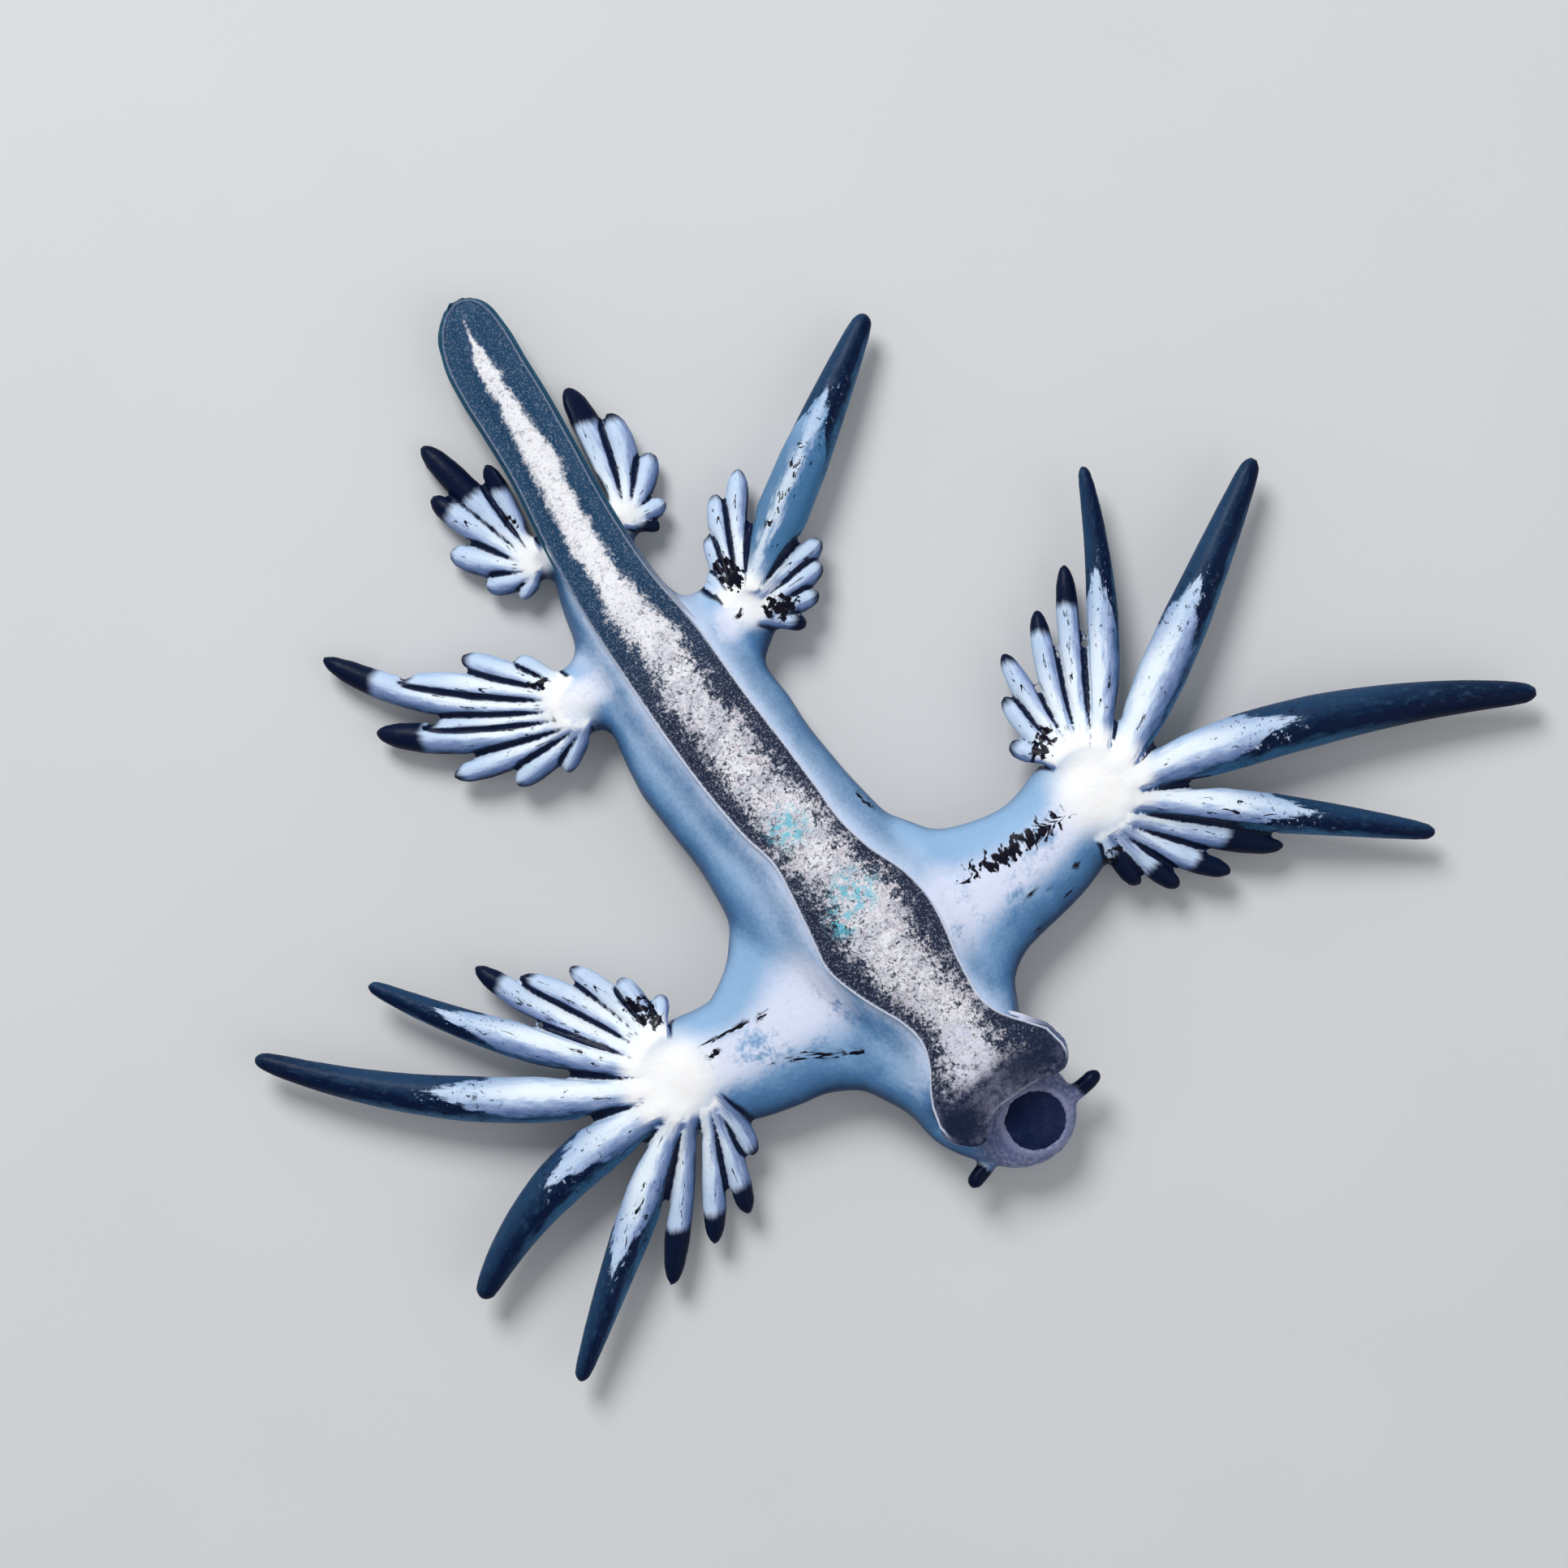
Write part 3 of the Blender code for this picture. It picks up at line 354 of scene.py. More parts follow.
# Ink marks on the skin: centre in X and Y, heading, half length, half width, how solid the ink is,
# how often it breaks along the mark and across it in a millimetre.
MARKS = (
    (6.50, -6.30, -2.0, 2.8, 0.55, 0.64, 2.4, 1.3),
    (7.70, -6.35, 0.0, 1.6, 0.62, 0.52, 2.6, 1.1),
    (5.20, -6.15, -4.0, 1.5, 0.55, 0.50, 3.0, 1.1),
    (6.05, -8.10, 20.0, 0.30, 0.14, 1.0, 1.0, 1.0),
    (6.90, -8.40, -40.0, 0.24, 0.16, 1.0, 1.0, 1.0),
    (8.15, -8.20, 30.0, 0.22, 0.15, 1.0, 1.0, 1.0),
    (6.25, -9.00, 70.0, 0.22, 0.10, 0.9, 1.0, 1.0),
    (5.55, -9.45, 60.0, 0.20, 0.10, 0.9, 1.0, 1.0),
    (7.30, -8.95, 10.0, 0.20, 0.09, 0.9, 1.0, 1.0),
    (-5.72, -5.90, 172.0, 2.2, 0.15, 0.74, 0.8, 5.0),
    (-7.35, -6.15, 165.0, 0.34, 0.20, 0.9, 1.5, 1.5),
    (-8.15, -7.10, 120.0, 0.16, 0.12, 0.9, 1.5, 1.5),
    (-3.95, -8.60, -29.0, 3.1, 0.26, 0.56, 0.9, 4.5),
    (9.75, -3.70, 30.0, 0.95, 0.55, 0.66, 2.2, 2.2),
    (9.50, -8.70, 20.0, 0.80, 0.45, 0.50, 2.2, 2.2),
    (-8.70, -3.30, -73.0, 1.20, 0.55, 0.66, 2.2, 2.2),
    (-4.77, 9.40, 125.0, 0.60, 0.40, 0.60, 2.4, 2.4),
    (3.68, 8.60, 85.0, 0.95, 0.60, 0.80, 2.4, 2.4),
    (4.55, 6.40, -20.0, 0.90, 0.60, 0.75, 2.4, 2.4),
    (-2.11, 15.10, 100.0, 0.50, 0.30, 0.55, 2.4, 2.4),
    (3.15, 7.10, 40.0, 0.28, 0.09, 0.9, 1.5, 5.0),
    (2.95, -1.55, -76.0, 0.55, 0.16, 0.8, 1.5, 3.0),
    (-1.35, 12.05, 60.0, 0.50, 0.30, 0.55, 2.4, 2.4),
)

NODES_OF_FLESH = ("head", "oral_tentacle_left", "oral_tentacle_right", "rhinophore_left", "rhinophore_right",
                  "trunk_front", "trunk_middle", "trunk_rear", "tail_root", "tail",
                  "arm_front_left", "arm_front_right")
NODES_OF_FANS = tuple(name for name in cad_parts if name.startswith(("fan_", "ceras_")))
NODES_OF_SOLE = ("foot_front", "foot_middle", "foot_rear", "foot_tail")

# The frame of the view: the body's axis leans over in it, and its middle is off the origin.
VIEW_TURN = -35.0
VIEW_CENTRE = (0.757, 0.757)


def length(name, description, default):
    return FloatProperty(name=name, description=description, default=default, unit="LENGTH", precision=6)


def share(name, description, default):
    return FloatProperty(name=name, description=description, default=default, min=0.0, max=1.0)


def count(name, description, default):
    return IntProperty(name=name, description=description, default=default, min=0)


def colour(name, description, default):
    return FloatVectorProperty(name=name, description=description, default=default, size=3,
                               subtype="COLOR", min=0.0, max=1.0)


class SLUG_PG_skin(bpy.types.PropertyGroup):
    voxel: length("Voxel", "Size of the cells in which the trunk, arms and cerata are fused", 0.000105)
    kept: share("Kept", "Share of the fused mesh's faces that is kept", 0.53)
    trunk_sides: count("Trunk sides", "Sides of the trunk's rings before it is fused", 64)
    arm_sides: count("Arm sides", "Sides of an arm's rings before it is fused", 48)
    ceras_sides: count("Ceras sides", "Sides of a ceras's rings before it is fused", 20)
    soften: count("Soften", "Rounds of smoothing all over the skin", 2)
    soften_roots: count("Soften roots", "Rounds of filling where arms meet the trunk", 160)
    soften_pits: count("Soften pits", "Rounds of smoothing in the corners between arms and trunk", 70)
    fill_hubs: count("Fill hubs", "Rounds of filling where cerata leave the arms' ends", 90)
    soften_hubs: count("Soften hubs", "Rounds of smoothing over the arms' round ends", 20)
    crease: length("Crease", "Depth of the creases between neighbouring cerata", 0.00012)
    # Pale, mid and deep blue: painted light and shade, with the slug's own deeper flanks; deep also makes its own
    # stipple.
    pale: colour("Pale blue", "Upper faces of the trunk and arms", (0.290, 0.475, 0.715))
    mid: colour("Mid blue", "Slopes of the trunk and arms", (0.085, 0.215, 0.430))
    deep: colour("Deep blue", "Flanks turned from the light", (0.010, 0.042, 0.120))
    # A painted highlight along the arms and beside the foot.
    ridge: colour("Ridge", "Bluish white along the arms and beside the foot", (0.790, 0.820, 0.970))
    tail: colour("Tail", "Sides of the tail", (0.009, 0.055, 0.130))
    hub: colour("Hub white", "The round ends of the arms", (0.985, 0.985, 0.985))
    ink: colour("Ink", "Black and purple marks", (0.004, 0.004, 0.012))
    silver: colour("Silver", "The back, which faces the floor", (0.420, 0.450, 0.500))
    lavender: colour("Lavender", "The veil round the mouth", (0.110, 0.140, 0.270))
    lip: colour("Lip", "The rim of the mouth", (0.270, 0.280, 0.440))
    roughness: share("Roughness", "How dull the wet skin is", 0.34)


class SLUG_PG_cerata(bpy.types.PropertyGroup):
    # White, edge, middle, lavender and shade lay painted light and shade across the pale part: white facing the light,
    # shade turned from it.
    white: colour("White", "Upper face of the pale part", (0.820, 0.910, 1.000))
    edge: colour("Edge", "Flank of the pale part that is turned to the light", (0.400, 0.560, 0.800))
    steel: colour("Steel", "Upper face where the dark part is near", (0.340, 0.500, 0.760))
    middle: colour("Middle", "Where the pale part starts to turn from the light", (0.440, 0.550, 0.780))
    lavender: colour("Lavender", "Slope that is turned from the light", (0.230, 0.310, 0.530))
    shade: colour("Shade", "The lee flank of the pale part", (0.110, 0.190, 0.390))
    # Painted shade between neighbouring cerata, with their own dark sides.
    groove: colour("Groove", "Between neighbours", (0.004, 0.010, 0.038))
    # Blue and navy are the dark part's painted lit and shaded sides.
    blue: colour("Blue", "The dark part where the light falls on it", (0.014, 0.048, 0.115))
    navy: colour("Navy", "The dark part", (0.001, 0.008, 0.038))
    tip: colour("Tip", "The last of the dark part", (0.0015, 0.0055, 0.026))
    # Teal is painted light through the thin lee edges of long cerata, and the own blue of some long cerata's pale
    # part.
    teal: colour("Teal", "Lee edges of long cerata", (0.050, 0.170, 0.340))
    # Painted glints.
    glint: colour("Glint", "Silvery flecks where the dark part of long cerata starts", (0.440, 0.540, 0.680))
    mottle: colour("Mottle", "Cloudy patches in the dark part of long cerata", (0.026, 0.068, 0.135))


class SLUG_PG_sole(bpy.types.PropertyGroup):
    thick: length("Thickness", "Thickness of the foot over the trunk", 0.00085)
    crown: length("Crown", "How much higher the middle of the foot is than its edges", 0.00018)
    step: length("Step", "Size of the cells of the foot's mesh", 0.00012)
    bead: length("Bead", "Height of the fine bead along the foot's edge", 0.00006)
    silver: colour("Silver", "Bright parts of the middle band", (0.900, 0.905, 0.940))
    blush: colour("Blush", "Pinkish parts of the middle band", (0.640, 0.560, 0.640))
    navy: colour("Navy", "The dark border at the head's end", (0.018, 0.025, 0.055))
    tail: colour("Tail blue", "The dark border at the tail's end", (0.014, 0.058, 0.130))
    fleck: colour("Fleck", "Fine flecks in the border", (0.310, 0.350, 0.450))
    cyan: colour("Cyan", "A few bright flecks near the middle", (0.150, 0.580, 0.730))
    lobe: colour("Lobe", "The dark front lobes of the foot", (0.010, 0.019, 0.052))
    haze: colour("Haze", "Soft lavender grey behind the lobes", (0.150, 0.155, 0.240))
    bloom: colour("Bloom", "A lavender white patch between the foot's front lobes", (0.800, 0.790, 0.950))
    edge: colour("Edge", "The thin pale edge of the foot", (0.700, 0.760, 0.920))
    roughness: share("Roughness", "How dull the wet foot is", 0.30)


class SLUG_PG_mouth(bpy.types.PropertyGroup):
    radius: length("Radius", "Radius of the disc in the mouth", 0.00119)
    dome: length("Dome", "Rise of the disc's middle", 0.00016)
    thick: length("Thickness", "Depth of the disc's side", 0.00045)
    scallop: length("Scallop", "Depth of the waves round the disc's rim", 0.00004)
    navy: colour("Navy", "The disc", (0.004, 0.011, 0.048))
    sheen: colour("Sheen", "Paler stipple on the disc", (0.012, 0.022, 0.075))


class SLUG_PG_stage(bpy.types.PropertyGroup):
    floor: colour("Floor", "The plain floor", (0.680, 0.690, 0.700))
    lens: FloatProperty(name="Lens", description="Focal length in millimetres", default=85.0)
    height: length("Height", "Height of the camera over the floor", 0.1445)
    key: FloatProperty(name="Key", description="Power of the key light in watts", default=0.92)
    fill: FloatProperty(name="Fill", description="Power of the fill light in watts", default=0.16)
    sky: FloatProperty(name="Sky", description="Strength of the light from all round", default=0.38)


class SLUG_PG_slug(bpy.types.PropertyGroup):
    skin: PointerProperty(type=SLUG_PG_skin)
    cerata: PointerProperty(type=SLUG_PG_cerata)
    sole: PointerProperty(type=SLUG_PG_sole)
    mouth: PointerProperty(type=SLUG_PG_mouth)
    stage: PointerProperty(type=SLUG_PG_stage)


def smooth(low, high, values):
    """0 below low, 1 above high and an S curve between them."""
    part = np.clip((np.asarray(values, float) - low) / (high - low), 0.0, 1.0)
    return part * part * (3 - 2 * part)


def eased(rows, at):
    """The row at a place, on cubics through the rows, which rise along their first column."""
    rows = np.array(rows)
    places, values = rows[:, 0], rows[:, 1:]
    at = min(max(at, places[0]), places[-1])
    i = min(int(np.searchsorted(places, at, side="right")) - 1, len(places) - 2)
    span = places[i + 1] - places[i]
    slopes = np.gradient(values, places, axis=0)
    t = (at - places[i]) / span
    return (
        (2 * t**3 - 3 * t**2 + 1) * values[i]
        + (t**3 - 2 * t**2 + t) * span * slopes[i]
        + (3 * t**2 - 2 * t**3) * values[i + 1]
        + (t**3 - t**2) * span * slopes[i + 1]
    )


def section(centre, along, half_width, half_height):
    """The matrix that carries a unit ring to its place across a path."""
    along = Vector(along).normalized()
    side = along.cross(Vector((0, 0, 1))).normalized()
    up = side.cross(along)
    columns = (side * half_width, up * half_height, along, Vector(centre))
    matrix = Matrix([[*row] for row in zip(*columns)]).to_4x4()
    matrix.col[3] = (*Vector(centre), 1.0)
    return matrix


def gather(whole, part):
    """Adds a part's mesh to the whole one, and frees the part."""
    mesh = bpy.data.meshes.new("part")
    part.to_mesh(mesh)
    part.free()
    whole.from_mesh(mesh)
    bpy.data.meshes.remove(mesh)


def sweep(whole, sections, sides, power=2.0):
    """Adds a closed tube: one ring extruded from section to section, then capped."""
    bm = bmesh.new()
    ring = bmesh.ops.create_circle(bm, segments=sides, radius=1.0)["verts"]
    for vert in ring:
        for axis in (0, 1):
            vert.co[axis] = math.copysign(abs(vert.co[axis]) ** (2 / power), vert.co[axis])
    bmesh.ops.transform(bm, matrix=sections[0], verts=ring)
    first = list({edge for vert in ring for edge in vert.link_edges})
    last = first
    for before, after in zip(sections, sections[1:]):
        made = bmesh.ops.extrude_edge_only(bm, edges=last)["geom"]
        last = [item for item in made if isinstance(item, bmesh.types.BMEdge)]
        verts = [item for item in made if isinstance(item, bmesh.types.BMVert)]
        bmesh.ops.transform(bm, matrix=after @ before.inverted(), verts=verts)
    bmesh.ops.edgeloop_fill(bm, edges=first)
    bmesh.ops.edgeloop_fill(bm, edges=last)
    bmesh.ops.recalc_face_normals(bm, faces=bm.faces)
    gather(whole, bm)


def steps(start, stop, step):
    return np.linspace(start, stop, max(2, round(abs(stop - start) / step) + 1))


def trunk_section(y):
    x, half_width, low, high = eased(TRUNK, y)
    return section((x, y, (low + high) / 2), (0, 1, 0), half_width, (high - low) / 2)


class Route:
    """A path through rows of centre and size, read by the distance from its start."""

    def __init__(self, centres, sizes):
        steps_along = np.linalg.norm(np.diff(np.array(centres), axis=0), axis=1)
        distance = np.concatenate([[0.0], np.cumsum(steps_along)])
        self.length = float(distance[-1])
        self.rows = np.column_stack([distance, centres, sizes])

    def section(self, s):
        x, y, z, half_width, half_height = eased(self.rows, s)
        ahead = eased(self.rows, s + 0.3)[:3]
        behind = eased(self.rows, s - 0.3)[:3]
        return section((x, y, z), ahead - behind, half_width, half_height)


def arm_route(rows):
    centres = [(x, y, (low + high) / 2) for x, y, half_width, low, high in rows]
    sizes = [(half_width, (high - low) / 2) for x, y, half_width, low, high in rows]
    return Route(centres, sizes)


def feeler_route(rows):
    return Route([row[:3] for row in rows], [(row[3], row[3]) for row in rows])


# One ceras sampled along its middle: centres, half widths, distances from its root,
# where its dark part starts, its length, a number drawn for it and how blue its pale part is.
FAR = 9.0
Line = namedtuple("Line", "centres halves places dark length draw dull")


def ceras_place(hub, rim_radius, row, s, lift, sag, collar):
    """Centre and direction of a ceras at a distance from its root."""
    rim, first, last = (math.radians(angle) for angle in row[:3])
    long = row[3]
    x = hub[0] + rim_radius * math.cos(rim)
    y = hub[1] + rim_radius * math.sin(rim)
    turn = (last - first) / long
    beyond = max(s, 0.0)
    heading = first + turn * beyond
    if s < 0 or abs(turn) < STRAIGHT:
        x += s * math.cos(first)
        y += s * math.sin(first)
    else:
        x += (math.sin(heading) - math.sin(first)) / turn
        y -= (math.cos(heading) - math.cos(first)) / turn
    rise = collar * hub[2] * min(math.exp(-s / COLLAR_FADE), COLLAR_TOP)
    z = hub[2] + lift - sag * beyond**2 / long + rise
    slope = -2 * sag * beyond / long
    return (x, y, z), (math.cos(heading), math.sin(heading), slope)


def add_cerata(bm, name, sides):
    """Adds the cerata of one arm to the mesh and hands back the line of each."""
    _, hub, rim_radius, cerata, _ = ARMS[name]
    draw = random.Random(name + str(SAG_SEED))
    lines = []
    for number, row in enumerate(cerata):
        long, width, dark = row[3:]
        sag = draw.uniform(*SAG)
        slim = long >= LONG_FROM
        lift = LONG_ABOVE if slim else -SHORT_BELOW
        collar = LONG_COLLAR if slim else SHORT_COLLAR
        shape = LONG_SHAPE if slim else SHORT_SHAPE
        flatness = LONG_FLATNESS if slim else SHORT_FLATNESS
        width *= LONG_PLUMP if slim else SHORT_PLUMP
        closing = np.array([long - 0.12, long - 0.04, long])
        places = np.concatenate([steps(-ROOT_DEPTH * rim_radius, long - 0.25, 0.12), closing])
        centres, halves, rings = [], [], []
        for s in places:
            centre, along = ceras_place(hub, rim_radius, row, s, lift, sag, collar)
            half = float(np.interp(s / long, *zip(*shape))) * width / 2
            centres.append(centre)
            halves.append(half)
            rings.append(section(centre, along, half, half * flatness))
        sweep(bm, rings, sides)
        dull = float(slim and not name.startswith("front"))
        line = Line(np.array(centres), np.array(halves), places, dark * long, long, number * 7.3, dull)
        lines.append(line)
    return lines


def add_pad(whole, hub, rim_radius, outward):
    """A low cushion of flesh that the roots of one fan share."""
    bm = bmesh.new()
    bmesh.ops.create_uvsphere(bm, u_segments=32, v_segments=16, radius=1.0)
    reach = PAD_REACH * rim_radius
    place = Vector(hub) + Vector((*outward, 0.0)) * PAD_SHIFT * rim_radius
    scale = Matrix.Diagonal((reach, reach, PAD_HEIGHT * hub[2], 1.0))
    bmesh.ops.transform(bm, matrix=Matrix.Translation(place) @ scale, verts=bm.verts)
    gather(whole, bm)


def mouth_matrix(depth=0.0):
    """A turn and a shift to a depth under the mouth's rim."""
    place = Matrix.Translation(Vector(MOUTH))
    tilt = Matrix.Rotation(math.radians(MOUTH_TILT), 4, "X")
    return place @ tilt @ Matrix.Translation((0, 0, -depth))


def add_lip(whole):
    """The thick rim round the mouth, a small circle turned round a large one."""
    bm = bmesh.new()
    ring = bmesh.ops.create_circle(bm, segments=12, radius=LIP_THICK)["verts"]
    stand = Matrix.Translation((LIP_RING, 0, 0)) @ Matrix.Rotation(math.pi / 2, 4, "X")
    bmesh.ops.transform(bm, matrix=mouth_matrix(LIP_DEPTH) @ stand, verts=ring)
    axis = mouth_matrix().to_3x3() @ Vector((0, 0, 1))
    bmesh.ops.spin(bm, geom=bm.verts[:] + bm.edges[:], axis=axis, cent=mouth_matrix(LIP_DEPTH).translation,
                   angle=math.tau, steps=48, use_merge=True)
    bmesh.ops.recalc_face_normals(bm, faces=bm.faces)
    gather(whole, bm)


def evaluated_mesh(obj):
    """The object's mesh with its modifiers applied. The object is removed."""
    graph = bpy.context.evaluated_depsgraph_get()
    mesh = bpy.data.meshes.new_from_object(obj.evaluated_get(graph))
    bpy.data.objects.remove(obj, do_unlink=True)
    return mesh


def add_object(name, mesh):
    obj = bpy.data.objects.new(name, mesh)
    bpy.context.scene.collection.objects.link(obj)
    return obj


def points_of(mesh):
    found = np.zeros(len(mesh.vertices) * 3)
    mesh.vertices.foreach_get("co", found)
    return found.reshape(-1, 3)


def normals_of(mesh):
    found = np.zeros(len(mesh.vertices) * 3, np.float32)
    mesh.vertex_normals.foreach_get("vector", found)
    return found.reshape(-1, 3).astype(float)


def set_points(mesh, points):
    mesh.vertices.foreach_set("co", points.astype(np.float32).ravel())
    mesh.update()


def averaged(values, mesh, rounds):
    """Values at the vertices, averaged with their neighbours' some times over."""
    edges = np.zeros(len(mesh.edges) * 2, np.int32)
    mesh.edges.foreach_get("vertices", edges)
    a, b = edges.reshape(-1, 2).T
    size = len(values)
    near = np.bincount(a, minlength=size) + np.bincount(b, minlength=size)
    for _ in range(rounds):
        total = np.bincount(a, values[b], size) + np.bincount(b, values[a], size)
        values = 0.5 * values + 0.5 * total / near
    return values


def store(mesh, name, values):
    attribute = mesh.attributes.new(name, "FLOAT", "POINT")
    attribute.data.foreach_set("value", np.asarray(values, np.float32))


def finish_piece(name, mesh, material, nodes):
    """Scales a mesh made in millimetres, shades it smooth and hands it to the frame."""
    mesh.transform(Matrix.Scale(MM, 4))
    mesh.name = name
    mesh.materials.clear()
    mesh.materials.append(material)
    mesh.shade_smooth()
    piece = add_object(name, mesh)
    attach(piece, "root")
    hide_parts(*nodes)
    return piece


def view_axes():
    """Right and up of the view, as seen on the floor."""
    turn = math.radians(VIEW_TURN)
    right = np.array([math.cos(turn), math.sin(turn), 0.0])
    up = np.array([-math.sin(turn), math.cos(turn), 0.0])
    return right, up


def fan_fields(points, lines):
    """What the skin near cerata needs to know of them, at each point."""
    right, up = view_axes()
    # The direction away from the light that is painted onto the cerata, along the floor.
    to_lee = (0.79 * right - 0.62 * up)[:2]
    size = len(points)
    best = np.full(size, FAR)
    second = np.full(size, FAR)
    fields = {name: np.zeros(size) for name in ("along", "side", "lee_side", "after_dark", "draw", "slim", "dull")}
    reach = 1.3
    for line in lines:
        low = line.centres.min(0) - reach
        high = line.centres.max(0) + reach
        near = np.flatnonzero(((points > low) & (points < high)).all(1))
        offset = points[near, None, :2] - line.centres[None, :, :2]
        distance = np.linalg.norm(offset, axis=2)
        pick = distance.argmin(1)
        rows = np.arange(len(near))
        ahead = np.gradient(line.centres[:, :2], axis=0)
        ahead /= np.linalg.norm(ahead, axis=1)[:, None]
        across = np.column_stack([-ahead[:, 1], ahead[:, 0]])
        half = np.maximum(line.halves[pick], 0.12)
        lateral = (offset[rows, pick] * across[pick]).sum(1)
        run = (offset[rows, pick] * ahead[pick]).sum(1)
        closeness = distance[rows, pick] / half
        closer = closeness < best[near]
        second[near] = np.where(closer, best[near], np.minimum(second[near], closeness))
        chosen = near[closer]
        best[chosen] = closeness[closer]
        along = (line.places[pick] + run)[closer]
        fields["along"][chosen] = along
        fields["side"][chosen] = (lateral / half)[closer]
        leaning = across[pick] @ to_lee
        fields["lee_side"][chosen] = (lateral / half * leaning / np.hypot(leaning, 0.15))[closer]
        fields["after_dark"][chosen] = along - line.dark
        fields["draw"][chosen] = line.draw
        fields["slim"][chosen] = float(line.length >= LONG_FROM)
        fields["dull"][chosen] = line.dull
    fields["apart"] = best
    fields["seam"] = second - best
    # Painted shade in the grooves between neighbouring cerata, wider on the side turned from the light.
    widening = 0.08 + 0.85 * smooth(-0.6, 1.6, fields["along"])
    seam = fields["seam"] / widening
    lee_share = smooth(-0.3, 0.3, fields["lee_side"])
    between = lee_share * (1 - smooth(0.45, 1.0, seam)) + (1 - lee_share) * (1 - smooth(0.12, 0.45, seam))
    between = np.maximum(between, smooth(0.98, 1.12, best)) * (best < FAR)
    fields["groove"] = between * smooth(-0.45, -0.05, fields["along"])
    return fields


def sole_gap(points, right_shift=0.0):
    """How far each point lies beside the sole."""
    sole = np.array(SOLE)
    left, right_edge = (np.interp(points[:, 1], sole[:, 0], sole[:, column]) for column in (1, 2))
    return np.maximum(left - points[:, 0], points[:, 0] - right_edge + right_shift)


def body_fields(points, normals, mesh):
    """Painted light and shade, the hubs, the arms' painted highlight ridges and the head, at each point."""
    right, up = view_axes()
    # The light that is painted into the skin's colour: how far each face turns to it and away from it drives painted
    # light and shade.
    towards_light = -0.25 * right + 0.54 * up + np.array([0.0, 0.0, 0.80])
    towards_light /= np.linalg.norm(towards_light)
    tone = averaged(normals @ towards_light, mesh, 3)
    facing = averaged(normals[:, 2], mesh, 3)
    lee = averaged(normals @ (0.42 * right - 0.91 * up), mesh, 2)
    hub_field = np.zeros(len(points))
    ridge = np.zeros(len(points))
    for rows, hub, rim_radius, _, white in ARMS.values():
        outward = np.array(rows[-1][:2]) - np.array(rows[-4][:2])
        middle = np.array(hub[:2]) + outward / np.linalg.norm(outward) * HUB_SHIFT * rim_radius
        distance = np.linalg.norm(points[:, :2] - middle, axis=1) / rim_radius
        hub_field = np.maximum(hub_field, white * (1 - smooth(0.45, 1.25, distance)))
        route = arm_route(rows)
        places = steps(0.0, route.length, 0.25)
        line = np.array([eased(route.rows, s) for s in places])
        near = np.flatnonzero(np.linalg.norm(points[:, :2] - line[:, :2].mean(0), axis=1) < route.length)
        offset = points[near, None, :2] - line[None, :, :2]
        gap = np.linalg.norm(offset, axis=2)
        pick = gap.argmin(1)
        # A painted highlight along each arm, lying a little towards the light.
        shift = (offset[np.arange(len(near)), pick] @ (right - up)[:2]) / math.sqrt(2)
        side = shift / line[pick, 3]
        across = 1 - smooth(0.14, 0.56, np.abs(side + 0.06))
        beside = gap[np.arange(len(near)), pick] / line[pick, 3]
        across *= 1 - smooth(0.7, 1.0, beside)
        from_foot = smooth(0.8, 2.2, places[pick])
        ridge[near] = np.maximum(ridge[near], across * from_foot)
    foot_gap = sole_gap(points, 0.5)
    mouth_gap = np.linalg.norm(points[:, :2] - np.array(MOUTH[:2]), axis=1)
    feeler = np.zeros(len(points))
    for rows in FEELERS:
        route = feeler_route(rows)
        line = np.array([eased(route.rows, s) for s in steps(0.0, route.length, 0.08)])
        near = np.flatnonzero(np.linalg.norm(points - line[:, :3].mean(0), axis=1) < route.length)
        gap = np.linalg.norm(points[near, None, :] - line[None, :, :3], axis=2)
        pick = gap.argmin(1)
        close = 1 - smooth(0.42, 0.55, gap.min(1))
        run = steps(0.0, route.length, 0.08)[pick] / route.length
        feeler[near] = np.maximum(feeler[near], close * run)
    return {"tone": tone, "facing": facing, "lee": lee, "hub": hub_field, "ridge": ridge,
            "mouth_gap": mouth_gap, "feeler": feeler, "foot_gap": foot_gap, "run": points[:, 1]}


def mark_fields(points, facing):
    """The strongest ink mark at each point, and the coordinates in it."""
    fields = {name: np.zeros(len(points)) for name in ("mark", "mark_u", "mark_v")}
    for x, y, heading, half_length, half_width, solid, breaks_along, breaks_across in MARKS:
        angle = math.radians(heading)
        dx, dy = points[:, 0] - x, points[:, 1] - y
        u = dx * math.cos(angle) + dy * math.sin(angle)
        v = -dx * math.sin(angle) + dy * math.cos(angle)
        inside = 1 - smooth(0.45, 1.25, np.hypot(u / half_length, v / half_width))
        inside *= solid * smooth(0.0, 0.3, facing)
        stronger = inside > fields["mark"]
        fields["mark"][stronger] = inside[stronger]
        fields["mark_u"][stronger] = (u * breaks_along + x * 3.1)[stronger]
        fields["mark_v"][stronger] = (v * breaks_across + y * 2.7)[stronger]
    return fields


